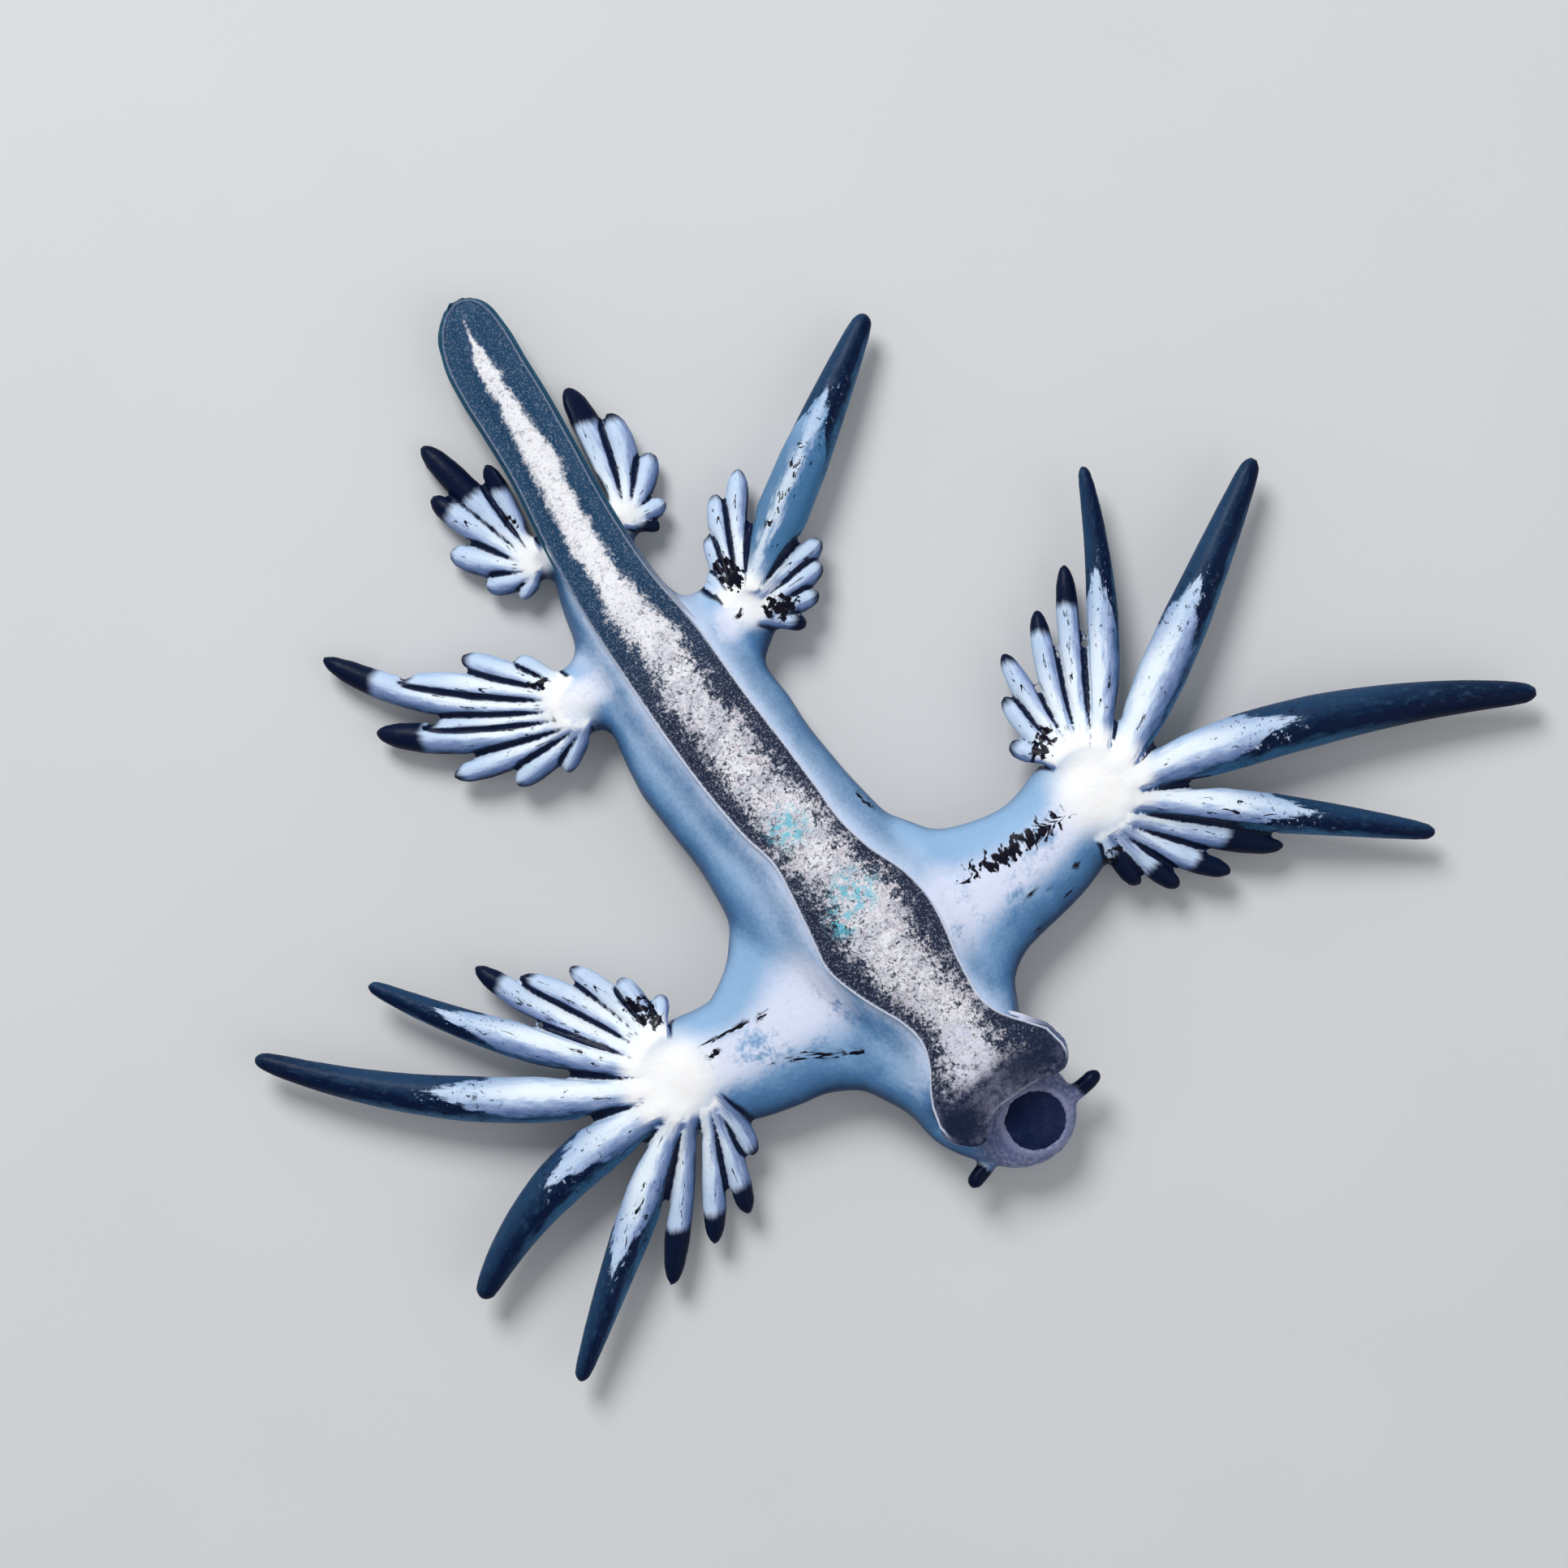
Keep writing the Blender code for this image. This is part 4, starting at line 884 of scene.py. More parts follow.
class Field:
    """A value over the surface: a socket, with Math nodes added by the signs used on it."""

    def __init__(self, paint, socket):
        self.paint = paint
        self.socket = socket

    def math(self, operation, *others):
        values = {0: self}
        values.update(enumerate(others, 1))
        return self.paint.add("ShaderNodeMath", {"operation": operation}, values).out(0)

    def __add__(self, other):
        return self.math("ADD", other)

    def __mul__(self, other):
        return self.math("MULTIPLY", other)

    def __sub__(self, other):
        return self.math("SUBTRACT", other)

    def __truediv__(self, other):
        return self.math("DIVIDE", other)

    def __rsub__(self, other):
        return self.paint.add("ShaderNodeMath", {"operation": "SUBTRACT"}, {0: other, 1: self}).out(0)

    def __or__(self, other):
        return self.math("MAXIMUM", other)

    def __and__(self, other):
        return self.math("MINIMUM", other)

    def __abs__(self):
        return self.math("ABSOLUTE")

    __radd__ = __add__
    __rmul__ = __mul__


class Node:
    """A shader node, read through its outputs."""

    def __init__(self, paint, node):
        self.paint = paint
        self.node = node

    def out(self, name):
        return Field(self.paint, self.node.outputs[name])


class Paint:
    """The node tree of one material."""

    def __init__(self, name):
        self.material = bpy.data.materials.new(name)
        self.material.use_nodes = True
        self.tree = self.material.node_tree
        self.tree.nodes.clear()

    def add(self, kind, settings, sockets):
        """A node of a kind, with its settings set and then its sockets given values or links."""
        node = self.tree.nodes.new(kind)
        for name, value in settings.items():
            if name == "stops":
                ramp = node.color_ramp
                while len(ramp.elements) < len(value):
                    ramp.elements.new(0.5)
                for element, (place, tint) in zip(ramp.elements, value):
                    element.position = place
                    element.color = (*tint, 1.0)
            else:
                setattr(node, name, value)
        for name, value in sockets.items():
            if isinstance(value, Field):
                self.tree.links.new(value.socket, node.inputs[name])
            elif isinstance(value, (tuple, list)) or hasattr(value, "r"):
                value = tuple(value)
                room = len(node.inputs[name].default_value)
                node.inputs[name].default_value = value + (1.0,) * (room - len(value))
            else:
                node.inputs[name].default_value = value
        return Node(self, node)

    def field(self, name):
        return self.add("ShaderNodeAttribute", {"attribute_name": name}, {}).out("Fac")

    def place(self):
        """Object coordinates, in millimetres."""
        coordinates = self.add("ShaderNodeTexCoord", {}, {}).out("Object")
        scaled = {"Vector": coordinates, "Scale": (1 / MM,) * 3}
        return self.add("ShaderNodeMapping", {"vector_type": "POINT"}, scaled).out(0)

    def vector(self, x, y, z):
        return self.add("ShaderNodeCombineXYZ", {}, {0: x, 1: y, 2: z}).out(0)

    def noise(self, vector, scale, detail=2.0, roughness=0.5, distortion=0.0):
        sockets = {"Vector": vector, "Scale": scale, "Detail": detail, "Roughness": roughness,
                   "Distortion": distortion}
        return self.add("ShaderNodeTexNoise", {}, sockets).out(0)

    def step(self, value, low, high):
        """0 below low, 1 above high and an S curve between them."""
        settings = {"interpolation_type": "SMOOTHSTEP", "clamp": True}
        sockets = {"Value": value, "From Min": min(low, high), "From Max": max(low, high),
                   "To Min": 0.0 if low < high else 1.0, "To Max": 1.0 if low < high else 0.0}
        return self.add("ShaderNodeMapRange", settings, sockets).out(0)

    def ramp(self, value, stops):
        return self.add("ShaderNodeValToRGB", {"stops": stops}, {0: value}).out(0)

    def mix(self, under, over, amount):
        """One colour laid over another by an amount from 0 to 1."""
        settings = {"data_type": "RGBA", "clamp_factor": True}
        return self.add("ShaderNodeMix", settings, {0: amount, 6: under, 7: over}).out(2)

    def finish(self, colour, roughness, height, depth, plain):
        """Joins it all in the shader. Depth is the bump's, in metres."""
        bump = self.add("ShaderNodeBump", {}, {"Height": height, "Distance": depth, "Strength": 1.0})
        sockets = {"Base Color": colour, "Roughness": roughness, "Normal": bump.out(0)}
        sockets.update(plain)
        shader = self.add("ShaderNodeBsdfPrincipled", {}, sockets)
        self.add("ShaderNodeOutputMaterial", {}, {"Surface": shader.out(0)})
        return self.material


WET = {"Coat Weight": 0.06, "Coat Roughness": 0.20, "Coat IOR": 1.33, "IOR": 1.33, "Specular IOR Level": 0.15,
       "Subsurface Weight": 0.10, "Subsurface Radius": (0.6, 0.8, 1.0), "Subsurface Scale": 0.0004}


def skin_material(skin, cerata):
    paint = Paint("wet_skin")
    place = paint.place()
    tone, facing, lee = paint.field("tone"), paint.field("facing"), paint.field("lee")
    fine = paint.noise(place, 6.0, 4.0, 0.6)
    broad = paint.noise(place, 0.8, 2.0)
    grain = fine - 0.5
    near_foot = paint.step(paint.field("foot_gap") + (broad - 0.5) * 1.2, 2.0, 0.0)
    tail = paint.step(paint.field("run"), 9.5, 15.0)
    # Painted light and shade: the blue is lighter where a face turns to the light and beside the foot, darker where it
    # turns away.
    shade = tone * 0.5 + 0.5 - lee * 0.12 + grain * 0.14 + (broad - 0.5) * 0.22 + near_foot * 0.06
    shade = shade - (1.0 - facing) * 0.10
    body = paint.ramp(shade, ((0.34, skin.deep), (0.70, skin.mid), (0.92, skin.pale)))
    # Painted shade on the steep flanks, most on the side turned from the light, with the slug's own deeper blue
    # flanks.
    body = paint.mix(body, skin.deep, paint.step(facing, 0.80, 0.20) * (paint.step(lee, -0.2, 0.6) * 0.45 + 0.35))
    # Painted highlight along the arms, and beside the foot where the painted light is strong.
    ridge = paint.field("ridge") * paint.step(broad + grain * 0.6, 0.20, 0.50) * 0.9
    body = paint.mix(body, skin.ridge, ridge | (near_foot * (1.0 - tail) * paint.step(shade, 0.72, 0.98) * 0.65))
    body = paint.mix(body, skin.tail, tail * 0.92)
    body = paint.mix(body, skin.hub, paint.field("hub"))
    stipple = paint.step(paint.noise(place, 11.0, 2.0, 0.6), 0.68, 0.78)
    body = paint.mix(body, skin.deep, stipple * (1.0 - paint.field("hub")) * 0.5)

    # The pale part of the cerata, with painted light and shade across each one, and painted shade in the grooves
    # between them.
    apart, side, along = paint.field("apart"), paint.field("side"), paint.field("along")
    after_dark, draw, slim = paint.field("after_dark"), paint.field("draw"), paint.field("slim")
    streak = paint.noise(paint.vector(along * 0.7, side * 2.4, draw), 1.6, 4.0, 0.62) - 0.5
    # Painted light and shade across each ceras, from white on the side facing the light to dark on the side turned
    # from it.
    lean = (lee * 0.4 + paint.field("lee_side") * 0.6 & 1.2) | -1.2
    turned = (lean + streak * 0.8) * 0.5 + 0.5
    short = paint.ramp(turned, ((0.05, cerata.edge), (0.22, cerata.white), (0.46, cerata.white),
                                (0.56, cerata.middle), (0.66, cerata.lavender), (0.80, cerata.shade),
                                (0.96, cerata.groove)))
    long = paint.ramp(turned, ((0.03, cerata.edge), (0.20, cerata.white), (0.42, cerata.white),
                               (0.52, cerata.middle), (0.62, cerata.lavender), (0.73, cerata.shade),
                               (0.84, cerata.blue), (0.96, cerata.teal)))
    pale = paint.mix(short, long, slim)
    # Painted shade on the steep flanks of the pale part.
    flank = paint.step(facing, 0.60, 0.20) * paint.step(turned, 0.70, 0.55)
    pale = paint.mix(pale, cerata.edge, flank * 0.6)
    nearing = paint.step(after_dark + streak * 3.0, -3.6, 0.2) * slim
    pale = paint.mix(pale, cerata.shade, nearing * paint.step(turned, 0.36, 0.12) * 0.8)
    off_crest = paint.step(abs(lean + 0.20 + streak * 0.8), 0.05, 0.35) * paint.step(along, 0.0, 1.5)
    pale = paint.mix(pale, cerata.teal, paint.field("dull") * (off_crest * 0.60 + 0.32))
    outer = paint.step(after_dark + streak, -3.0, -0.3) * 0.6
    pale = paint.mix(pale, cerata.steel, (nearing * 0.5 | outer) * paint.step(turned, 0.60, 0.45))
    # The arm end's white runs onto the roots, but not onto the side turned from the light, which keeps its painted
    # shade.
    pale = paint.mix(pale, skin.hub, paint.step(along, 0.7, -0.2) * paint.step(turned, 0.75, 0.60)
                     * paint.step(lee, 0.45, 0.15))
    # Painted shade in the grooves between neighbouring cerata, partly their own dark sides.
    pale = paint.mix(pale, cerata.groove, paint.step(paint.field("groove") + streak * 0.25, 0.22, 0.62))
    strokes = paint.noise(paint.vector(along * 0.9, side * 2.0, draw + 3.0), 1.6, 4.0, 0.65, 0.6)
    dash = paint.step(strokes, 0.615, 0.645) * paint.step(abs(side - 0.05), 0.60, 0.35)
    dash = dash * paint.step(along, 0.2, 0.6) * paint.step(after_dark, 0.2, -0.5)
    pale = paint.mix(pale, skin.ink, dash)

    # Their dark part, which starts sooner, as painted shade, on the flank that is turned from the light.
    reach = after_dark + streak * (slim * 2.4 + 0.35) + (abs(lean + 0.25) - 0.25) * (slim * 3.0 + 0.25)
    dark = paint.step(reach, -0.15, 0.30)
    # Painted light and shade on the dark part: blue where it faces the light, navy where it turns away.
    navy = paint.ramp(turned, ((0.20, cerata.blue), (0.58, cerata.navy)))
    last = paint.step(after_dark + streak * 2.0, 3.0, 8.0) * 0.7 | (1.0 - slim) * 0.9
    navy = paint.mix(navy, cerata.tip, last)
    # Own cloudy mottle, laid only on the side facing the light, so partly painted light.
    clouds = paint.noise(paint.vector(along * 1.6, side * 2.2, draw + 5.0), 1.6, 4.0, 0.7)
    navy = paint.mix(navy, cerata.mottle, paint.step(clouds, 0.50, 0.68) * slim * paint.step(turned, 0.75, 0.45) * 0.6)
    # Painted light shining through the thin lee edges of long cerata, in teal.
    rim = paint.step(turned, 0.72, 0.92) * slim * paint.step(after_dark, 6.0, 1.0)
    navy = paint.mix(navy, cerata.teal, rim * 0.75)
    fan = paint.mix(pale, navy, dark)
    # Painted glints where the dark part of long cerata starts, with the slug's own ink specks among them.
    sparks = paint.noise(paint.vector(along * 3.0, side * 2.6, draw + 9.0), 1.6, 3.0, 0.7)
    cluster = paint.step(after_dark + streak * 2.0, -3.0, -1.0) * paint.step(after_dark + streak * 2.0, 1.8, 0.2)
    glint = paint.step(sparks, 0.60, 0.66) * slim * cluster * paint.step(abs(side + 0.1), 0.55, 0.25)
    fan = paint.mix(fan, cerata.glint, glint)
    fan = paint.mix(fan, skin.ink, paint.step(sparks, 0.40, 0.35) * slim * cluster * 0.8)
    on_fan = paint.step(apart, 1.9, 1.35) * paint.step(along, -0.60, -0.30)
    tint = paint.mix(body, fan, on_fan)

    # Ink marks, the head, its feelers and the back.
    broken = paint.noise(paint.vector(paint.field("mark_u"), paint.field("mark_v"), 0.0), 1.6, 3.0, 0.55)
    inked = paint.field("mark")
    mark = paint.step(broken + inked * 0.45, 0.70, 0.77) * paint.step(inked, 0.02, 0.2)
    tint = paint.mix(tint, skin.ink, mark)
    gap = paint.field("mouth_gap") + grain * 0.2
    veil = paint.mix(skin.lavender, skin.lip, paint.step(fine + broad * 0.4, 0.62, 0.84) * 0.8)
    tint = paint.mix(tint, veil, paint.step(gap, 3.0, 2.0))
    tint = paint.mix(tint, skin.lip, paint.step(gap, 1.10, 1.22) * paint.step(gap, 1.50, 1.36) * 0.5)
    tint = paint.mix(tint, cerata.tip, paint.step(paint.field("feeler") + grain * 0.1, 0.50, 0.60))
    back = paint.mix(skin.silver, skin.mid, paint.step(fine, 0.45, 0.75) * 0.5)
    tint = paint.mix(tint, back, paint.step(facing, -0.25, -0.65) * (1.0 - dark * on_fan))
    roughness = fine * 0.12 + (skin.roughness - 0.06) + dark * on_fan * 0.10
    height = fine * 0.5 + paint.noise(place, 2.2, 2.0)
    return paint.finish(tint, roughness, height, 0.00003, WET)


def fuse_skin(props):
    """The trunk, arms, cerata and feelers fused in one mesh, with the line of each ceras."""
    bm = bmesh.new()
    ys = np.concatenate([[-16.95, -16.90, -16.82], steps(-16.7, 22.8, 0.3), [22.95, 23.05, 23.10]])
    sweep(bm, [trunk_section(y) for y in ys], props.trunk_sides, TRUNK_POWER)
    lines = []
    for name, (rows, hub, rim_radius, _, _) in ARMS.items():
        route = arm_route(rows)
        places = np.concatenate([steps(0.0, route.length - 0.3, 0.25), route.length - np.array([0.15, 0.05, 0])])
        sweep(bm, [route.section(s) for s in places], props.arm_sides)
        end = np.array(rows[-1][:2]) - np.array(rows[-4][:2])
        add_pad(bm, hub, rim_radius, end / np.linalg.norm(end))
        lines += add_cerata(bm, name, props.ceras_sides)
    for rows in FEELERS:
        route = feeler_route(rows)
        sweep(bm, [route.section(s) for s in steps(0.0, route.length, 0.1)], props.ceras_sides)
    add_lip(bm)
    bmesh.ops.recalc_face_normals(bm, faces=bm.faces)
    mesh = bpy.data.meshes.new("skin_parts")
    bm.to_mesh(mesh)
    bm.free()
    return modified(mesh, "REMESH", {"mode": "VOXEL", "voxel_size": props.voxel / MM}), lines


def modified(mesh, kind, settings):
    """The mesh after one modifier."""
    obj = add_object("shaping", mesh)
    modifier = obj.modifiers.new("shaping", kind)
    for name, value in settings.items():
        setattr(modifier, name, value)
    return evaluated_mesh(obj)


def relaxed(mesh, weights, rounds, filling=False):
    """The mesh smoothed some rounds, each vertex by its weight. Filling keeps outward moves alone."""
    start, normals = points_of(mesh), normals_of(mesh)
    points = start.copy()
    pull = weights[:, None]
    edges = np.zeros(len(mesh.edges) * 2, np.int32)
    mesh.edges.foreach_get("vertices", edges)
    a, b = edges.reshape(-1, 2).T
    size = len(points)
    near = (np.bincount(a, minlength=size) + np.bincount(b, minlength=size))[:, None]
    for _ in range(rounds):
        total = np.column_stack([np.bincount(a, points[b, k], size) + np.bincount(b, points[a, k], size)
                                 for k in range(3)])
        points += 0.5 * pull * (total / near - points)
    if filling:
        outward = smooth(-0.01, 0.04, ((points - start) * normals).sum(1))
        points = start + (points - start) * outward[:, None]
    set_points(mesh, points)
    return mesh


def soften(mesh, props):
    """Smooths the fused mesh, most where the arms meet the trunk."""
    points = points_of(mesh)
    table = np.array(TRUNK)
    middle = np.interp(points[:, 1], table[:, 0], table[:, 1])
    half = np.interp(points[:, 1], table[:, 0], table[:, 2])
    beyond = np.abs(points[:, 0] - middle) - half
    flank = smooth(-1.2, -0.2, beyond) * (1 - smooth(0.8, 2.2, beyond))
    roots, pits, hubs = np.zeros((3, len(points)))
    for rows, hub, rim_radius, _, _ in ARMS.values():
        span = max(row[2] for row in rows)
        from_root = np.abs(points[:, 1] - rows[0][1])
        roots = np.maximum(roots, flank * (1 - smooth(span, span + 2.5, from_root)))
        share_out = from_root / span
        pits = np.maximum(pits, flank * smooth(0.5, 0.75, share_out) * (1 - smooth(1.3, 1.7, share_out)))
        gap = np.linalg.norm(points[:, :2] - np.array(hub[:2]), axis=1) / rim_radius
        hubs = np.maximum(hubs, 1 - smooth(0.95, 1.55, gap))
    mesh = relaxed(mesh, roots, props.soften_roots, filling=True)
    mesh = relaxed(mesh, pits, props.soften_pits)
    mesh = relaxed(mesh, hubs, props.fill_hubs, filling=True)
    mesh = relaxed(mesh, hubs, props.soften_hubs)
    return relaxed(mesh, np.ones(len(points)), props.soften)


def deepen(mesh, lines, depth):
    """Presses creases in between neighbouring cerata."""
    points = points_of(mesh)
    fields = fan_fields(points, lines)
    crease = (1 - smooth(0.1, 0.6, fields["seam"])) * smooth(0.1, 0.9, fields["along"])
    crease *= 1 - smooth(1.3, 1.8, fields["apart"])
    crease = averaged(crease, mesh, 1)
    set_points(mesh, points - normals_of(mesh) * (crease * depth)[:, None])
    return mesh


def meet_sole(points, normals):
    """Raises the skin beside the foot, so that it meets the foot's edge in a soft slope."""
    y = points[:, 1]
    beside = 1 - smooth(-0.1, FILLET_REACH, sole_gap(points))
    beside *= smooth(-13.4, -12.2, y) * (1 - smooth(22.6, 23.1, y))
    raised = points.copy()
    raised[:, 2] += FILLET_RISE * beside * smooth(0.2, 0.7, normals[:, 2])
    return raised


def shape_mouth(points):
    """Sinks a round seat for the mouth's disc in the head."""
    inward = mouth_matrix().inverted()
    rotation = np.array(inward.to_3x3())
    local = points @ rotation.T + np.array(inward.translation)
    radius = np.hypot(local[:, 0], local[:, 1])
    seat = -0.35 * (1 - smooth(1.0, 1.24, radius))
    above = (local[:, 2] > -1.2) & (radius < 1.26)
    local[above, 2] = np.minimum(local[above, 2], seat[above])
    back = mouth_matrix()
    return local @ np.array(back.to_3x3()).T + np.array(back.translation)


class SLUG_OT_skin(bpy.types.Operator):
    """One skin over the trunk, arms, cerata, head and feelers"""

    bl_idname = "slug.skin"
    bl_label = "Skin"

    def execute(self, context):
        props = context.scene.slug
        mesh, lines = fuse_skin(props.skin)
        mesh = soften(mesh, props.skin)
        mesh = deepen(mesh, lines, props.skin.crease / MM)
        mesh = modified(mesh, "DECIMATE", {"ratio": props.skin.kept})
        points = meet_sole(points_of(mesh), normals_of(mesh))
        points = shape_mouth(points)
        points[:, 2] = np.maximum(points[:, 2], FLOOR)
        set_points(mesh, points)
        fields = body_fields(points, normals_of(mesh), mesh)
        fields.update(fan_fields(points, lines))
        # The painted shade in the grooves fades out on steep flanks.
        fields["groove"] = averaged(fields["groove"], mesh, 2) * smooth(-0.05, 0.25, fields["facing"])
        fields.update(mark_fields(points, fields["facing"]))
        for name, values in fields.items():
            store(mesh, name, values)
        material = skin_material(props.skin, props.cerata)
        piece = finish_piece("skin", mesh, material, NODES_OF_FLESH + NODES_OF_FANS)
        if not piece.data.polygons:
            raise RuntimeError("the skin came out empty")
        return {"FINISHED"}


def trunk_top(x, y):
    """Height of the trunk's upper face, level with its rim out to the lobes that overhang it."""
    middle, half_width, low, high = eased(TRUNK, y)
    across = min(abs(x - middle) / half_width, 0.75)
    rise = (1 - across**TRUNK_POWER) ** (1 / TRUNK_POWER)
    return (low + high) / 2 + (high - low) / 2 * rise


def sole_row(y):
    left, right, _ = eased(SOLE, y)
    return lambda across: (left + (right - left) * across, y)


def lobe_row(blend):
    """The points across the sole between its last straight row and its lobed front edge."""
    rear = sole_row(SOLE[0][0])
    edge = [(index / (len(SOLE_FRONT) - 1), *point) for index, point in enumerate(SOLE_FRONT)]

    def point(across):
        x, y = rear(across)
        front_x, front_y = eased(edge, across)
        return x + (front_x - x) * blend, y + (front_y - y) * blend

    return point


def sole_material(props, skin):
    paint = Paint("wet_sole")
    place = paint.place()
    fine = paint.noise(place, 8.0, 4.0, 0.7)
    medium = paint.noise(place, 2.6, 3.0, 0.6)
    broad = paint.noise(place, 0.55, 2.0)
    band, run, inset = paint.field("band"), paint.field("run"), paint.field("inset")
    tail = paint.step(run, 4.0, 13.0)
    front = paint.step(run, -3.0, -11.0)
    border = paint.mix(props.navy, props.tail, tail)
    speckle = paint.noise(place, 13.0, 3.0, 0.7)
    flecks = paint.step(speckle, 0.52, 0.66) * (front * 0.10 - tail * 0.25 + 0.75)
    border = paint.mix(border, props.fleck, flecks)
    inward = (1.0 - band) * 0.95 - 0.10 + (broad - 0.5) * 1.3 + tail * 0.10
    inward = inward - paint.step(run, 20.5, 22.6) * 0.9
    grains = (medium - 0.5) * (1.7 - tail * 0.8) + (fine - 0.5) * (2.2 - tail * 1.1)
    silver = paint.step(inward + grains, -0.10, 0.38)
    bright = paint.mix(props.silver, props.blush, paint.step(medium, 0.42, 0.66) * (0.75 - tail * 0.5))
    patches = paint.step(paint.noise(place, 1.1, 3.0, 0.6) + (fine - 0.5) * 0.5, 0.42, 0.60)
    bright = paint.mix(bright, props.fleck, patches * (1.0 - tail) * 0.5)
    brushed = paint.noise(place, 4.2, 5.0, 0.75, 1.6)
    bright = paint.mix(bright, props.navy, paint.step(brushed, 0.47, 0.38) * (0.95 - tail * 0.5))
    bright = paint.mix(bright, props.silver, paint.step(brushed, 0.53, 0.62) * 0.8)
    tint = paint.mix(border, bright, silver)
    cyan = paint.field("cyan") * paint.step(paint.noise(place, 3.2, 4.0, 0.7), 0.46, 0.58) * 0.9
    tint = paint.mix(tint, props.cyan, cyan)
    haze = paint.mix(props.lobe, props.haze, paint.step(medium + fine * 0.4, 0.55, 0.90))
    haze = paint.mix(haze, props.lobe, paint.field("dusk"))
    tint = paint.mix(tint, haze, paint.step(run + (medium - 0.5) * 1.6, -11.8, -13.0) * 0.95)
    tint = paint.mix(tint, props.lobe, paint.field("dusk") * paint.step(fine, 0.70, 0.40) * 0.9)
    tint = paint.mix(tint, props.bloom, paint.field("bloom") * paint.step(medium + fine, 0.80, 1.15) * 0.95)
    line = paint.step(inset + (fine - 0.5) * 0.10, 0.12, 0.03) * paint.step(run, -14.2, -13.4)
    tint = paint.mix(tint, props.edge, line * (0.9 - tail * 0.72))
    # The foot's side wall takes lavender at the head, tail blue at the tail and painted highlight white between, which
    # paints out the shade in the crevice beside the foot.
    side = paint.mix(skin.lavender, skin.ridge, paint.step(run, -12.8, -11.6))
    side = paint.mix(side, props.tail, tail)
    tint = paint.mix(tint, side, paint.step(paint.field("wall"), 0.10, 0.20))
    roughness = fine * 0.15 + (props.roughness - 0.07)
    return paint.finish(tint, roughness, fine + medium + broad, 0.00004, WET)


class SLUG_OT_sole(bpy.types.Operator):
    """The foot's sole, with its silver band and its thin pale edge"""

    bl_idname = "slug.sole"
    bl_label = "Sole"

    def execute(self, context):
        props = context.scene.slug.sole
        step = props.step / MM
        rows = [lobe_row(blend) for blend in steps(1.0, 0.0, 0.05)[:-1]]
        rows += [sole_row(y) for y in steps(SOLE[0][0], SOLE[-1][0] - 0.15, step)]
        rows += [sole_row(y) for y in SOLE[-1][0] - np.array([0.1, 0.05, 0.02, 0.0])]
        columns = 48
        bm = bmesh.new()
        bmesh.ops.create_grid(bm, x_segments=columns - 1, y_segments=len(rows) - 1, size=1.0)
        for index, vert in enumerate(bm.verts):
            row, column = divmod(index, columns)
            across = 0.5 - 0.5 * math.cos(math.pi * column / (columns - 1))
            x, y = rows[row](across)
            vert.co = Vector((x, y, trunk_top(x, y)))
        bmesh.ops.recalc_face_normals(bm, faces=bm.faces)
        if sum(face.normal.z for face in bm.faces) < 0:
            bmesh.ops.reverse_faces(bm, faces=bm.faces)
        rim = [vert for vert in bm.verts if vert.is_boundary]
        outline = np.array([vert.co.to_tuple() for vert in rim])[:, :2]
        mesh = bpy.data.meshes.new("sole")
        bm.to_mesh(mesh)
        bm.free()
        points = points_of(mesh)
        gaps = np.linalg.norm(points[:, None, :2] - outline[None], axis=2)
        inset = gaps.min(1)
        crown = props.crown / MM * smooth(0.0, 1.2, inset)
        bead = props.bead / MM * (1 - smooth(0.03, 0.16, inset))
        points[:, 2] += props.thick / MM - 0.12 + crown + bead
        set_points(mesh, points)
        table = np.array(SOLE)
        centre = np.interp(points[:, 1], table[:, 0], (table[:, 1] + table[:, 2]) / 2)
        half = np.interp(points[:, 1], table[:, 0], table[:, 3])
        spots = {}
        for name, patches in SOLE_PATCHES.items():
            closeness = [np.hypot(points[:, 0] - x, points[:, 1] - y) / reach for x, y, reach in patches]
            spots[name] = 1 - smooth(0.2, 1.0, np.min(closeness, axis=0))
        store(mesh, "band", np.abs(points[:, 0] - centre) / half)
        store(mesh, "run", points[:, 1])
        store(mesh, "inset", inset)
        for name, values in spots.items():
            store(mesh, name, values)
        size = len(points)
        mesh = modified(mesh, "SOLIDIFY", {"thickness": 0.5, "offset": -1.0})
        store(mesh, "wall", np.arange(len(mesh.vertices)) >= size)
        material = sole_material(props, context.scene.slug.skin)
        finish_piece("sole", mesh, material, NODES_OF_SOLE)
        return {"FINISHED"}


def mouth_material(props):
    paint = Paint("wet_mouth")
    place = paint.place()
    fine = paint.noise(place, 8.0, 3.0, 0.6)
    broad = paint.noise(place, 1.8, 2.0)
    tint = paint.mix(props.navy, props.sheen, paint.step(fine + broad, 0.85, 1.35))
    return paint.finish(tint, fine * 0.15 + 0.22, fine + broad, 0.00002, WET)


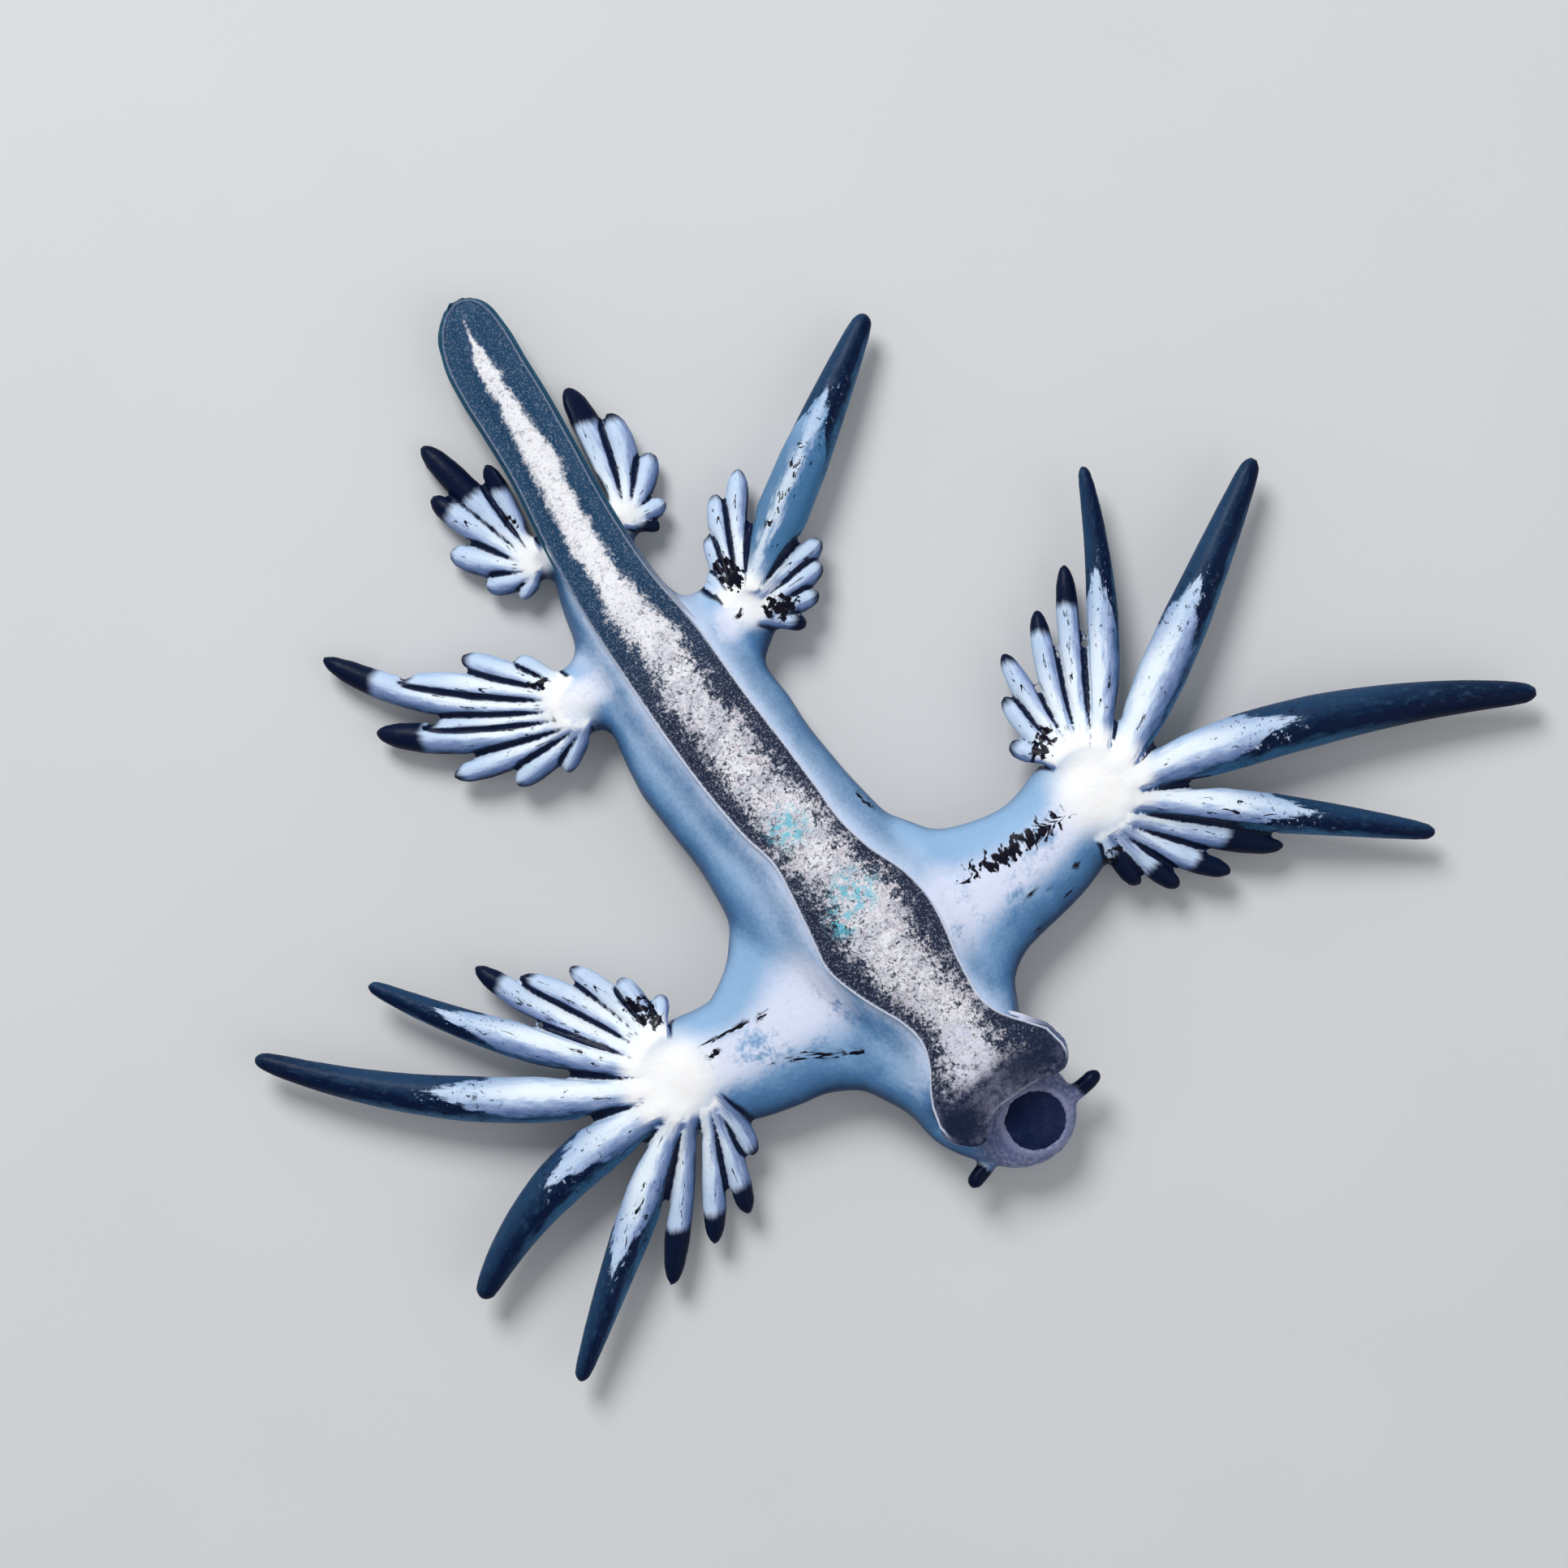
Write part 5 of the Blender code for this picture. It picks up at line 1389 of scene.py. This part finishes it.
class SLUG_OT_mouth(bpy.types.Operator):
    """The round, dark disc in the mouth"""

    bl_idname = "slug.mouth"
    bl_label = "Mouth"

    def execute(self, context):
        props = context.scene.slug.mouth
        radius = props.radius / MM
        bm = bmesh.new()
        bmesh.ops.create_circle(bm, cap_ends=True, segments=96, radius=radius)
        for vert in bm.verts:
            turn = math.atan2(vert.co.y, vert.co.x)
            wave = props.scallop / MM * (math.sin(13 * turn) + 0.6 * math.sin(29 * turn + 1.0))
            vert.co *= 1 + wave / radius
        face = bm.faces[:]
        bmesh.ops.recalc_face_normals(bm, faces=face)
        for _ in range(9):
            bmesh.ops.inset_region(bm, faces=face, thickness=radius / 10, use_even_offset=False)
        for vert in bm.verts:
            reach = min(1.0, vert.co.length / radius)
            vert.co.z = props.dome / MM * (1 - reach**2)
        if sum(each.normal.z for each in bm.faces) < 0:
            bmesh.ops.reverse_faces(bm, faces=bm.faces)
        bmesh.ops.transform(bm, matrix=mouth_matrix(0.10), verts=bm.verts)
        mesh = bpy.data.meshes.new("mouth")
        bm.to_mesh(mesh)
        bm.free()
        obj = add_object("mouth_sheet", mesh)
        solid = obj.modifiers.new("thickness", "SOLIDIFY")
        solid.thickness = props.thick / MM
        solid.offset = -1.0
        bevel = obj.modifiers.new("round", "BEVEL")
        bevel.width = 0.05
        bevel.segments = 3
        bevel.limit_method = "ANGLE"
        finish_piece("mouth", evaluated_mesh(obj), mouth_material(props), ("mouth_disc",))
        return {"FINISHED"}


def add_light(name, place, size, power, target):
    lamp = bpy.data.lights.new(name, "AREA")
    lamp.shape = "DISK"
    lamp.size = size
    lamp.energy = power
    obj = bpy.data.objects.new(name, lamp)
    obj.location = place
    obj.rotation_euler = (Vector(target) - Vector(place)).to_track_quat("-Z", "Y").to_euler()
    bpy.context.scene.collection.objects.link(obj)


class SLUG_OT_stage(bpy.types.Operator):
    """The pale floor, the soft light and the camera overhead"""

    bl_idname = "slug.stage"
    bl_label = "Stage"

    def execute(self, context):
        props = context.scene.slug.stage
        bm = bmesh.new()
        bmesh.ops.create_grid(bm, x_segments=1, y_segments=1, size=3.0)
        mesh = bpy.data.meshes.new("floor")
        bm.to_mesh(mesh)
        bm.free()
        floor = add_object("floor", mesh)
        paint = Paint("floor")
        place = paint.place()
        grain = paint.noise(place, 0.08, 3.0)
        tint = paint.mix(props.floor, (0.64, 0.65, 0.66), grain)
        mesh.materials.append(paint.finish(tint, grain * 0.1 + 0.75, grain, 0.00002, {}))
        floor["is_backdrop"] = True

        right, up = view_axes()
        middle = np.array([VIEW_CENTRE[0] * MM, VIEW_CENTRE[1] * MM, 0.0])
        above = np.array([0.0, 0.0, 1.0])
        key = middle + (-0.11 * right + 0.21 * up + 0.26 * above)
        fill = middle + (0.24 * right - 0.10 * up + 0.20 * above)
        add_light("key", key, 0.16, props.key, middle)
        add_light("fill", fill, 0.30, props.fill, middle)

        world = bpy.data.worlds.new("soft_sky")
        world.use_nodes = True
        background = world.node_tree.nodes["Background"]
        background.inputs["Color"].default_value = (0.93, 0.96, 1.0, 1.0)
        background.inputs["Strength"].default_value = props.sky
        context.scene.world = world

        camera = bpy.data.objects.new("camera", bpy.data.cameras.new("camera"))
        camera.data.lens = props.lens
        camera.data.sensor_width = 36.0
        camera.data.clip_start = 0.001
        camera.location = (middle[0], middle[1], props.height)
        camera.rotation_euler = (0.0, 0.0, math.radians(VIEW_TURN))
        context.scene.collection.objects.link(camera)
        context.scene.camera = camera
        context.scene.view_settings.view_transform = "Standard"
        return {"FINISHED"}


class SLUG_PT_panel(bpy.types.Panel):
    """Lists the pieces of the slug"""

    bl_idname = "SLUG_PT_panel"
    bl_label = "Blue Dragon Sea Slug"
    bl_space_type = "VIEW_3D"
    bl_region_type = "UI"
    bl_category = "Sea Slug"

    def draw(self, context):
        for operator in OPERATORS:
            self.layout.operator(operator.bl_idname)


OPERATORS = (SLUG_OT_skin, SLUG_OT_sole, SLUG_OT_mouth, SLUG_OT_stage)
CLASSES = (SLUG_PG_skin, SLUG_PG_cerata, SLUG_PG_sole, SLUG_PG_mouth, SLUG_PG_stage, SLUG_PG_slug,
           *OPERATORS, SLUG_PT_panel)


def register():
    for each in CLASSES:
        bpy.utils.register_class(each)
    bpy.types.Scene.slug = PointerProperty(type=SLUG_PG_slug)


def unregister():
    del bpy.types.Scene.slug
    for each in reversed(CLASSES):
        bpy.utils.unregister_class(each)


def main():
    register()
    bpy.ops.slug.skin()
    bpy.ops.slug.sole()
    bpy.ops.slug.mouth()
    bpy.ops.slug.stage()
    boxes = {"solids": SOLID_BOX, "looks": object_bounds()}
    plain = {name: [list(corner) for corner in box] for name, box in boxes.items()}


if __name__ == "__main__":
    main()
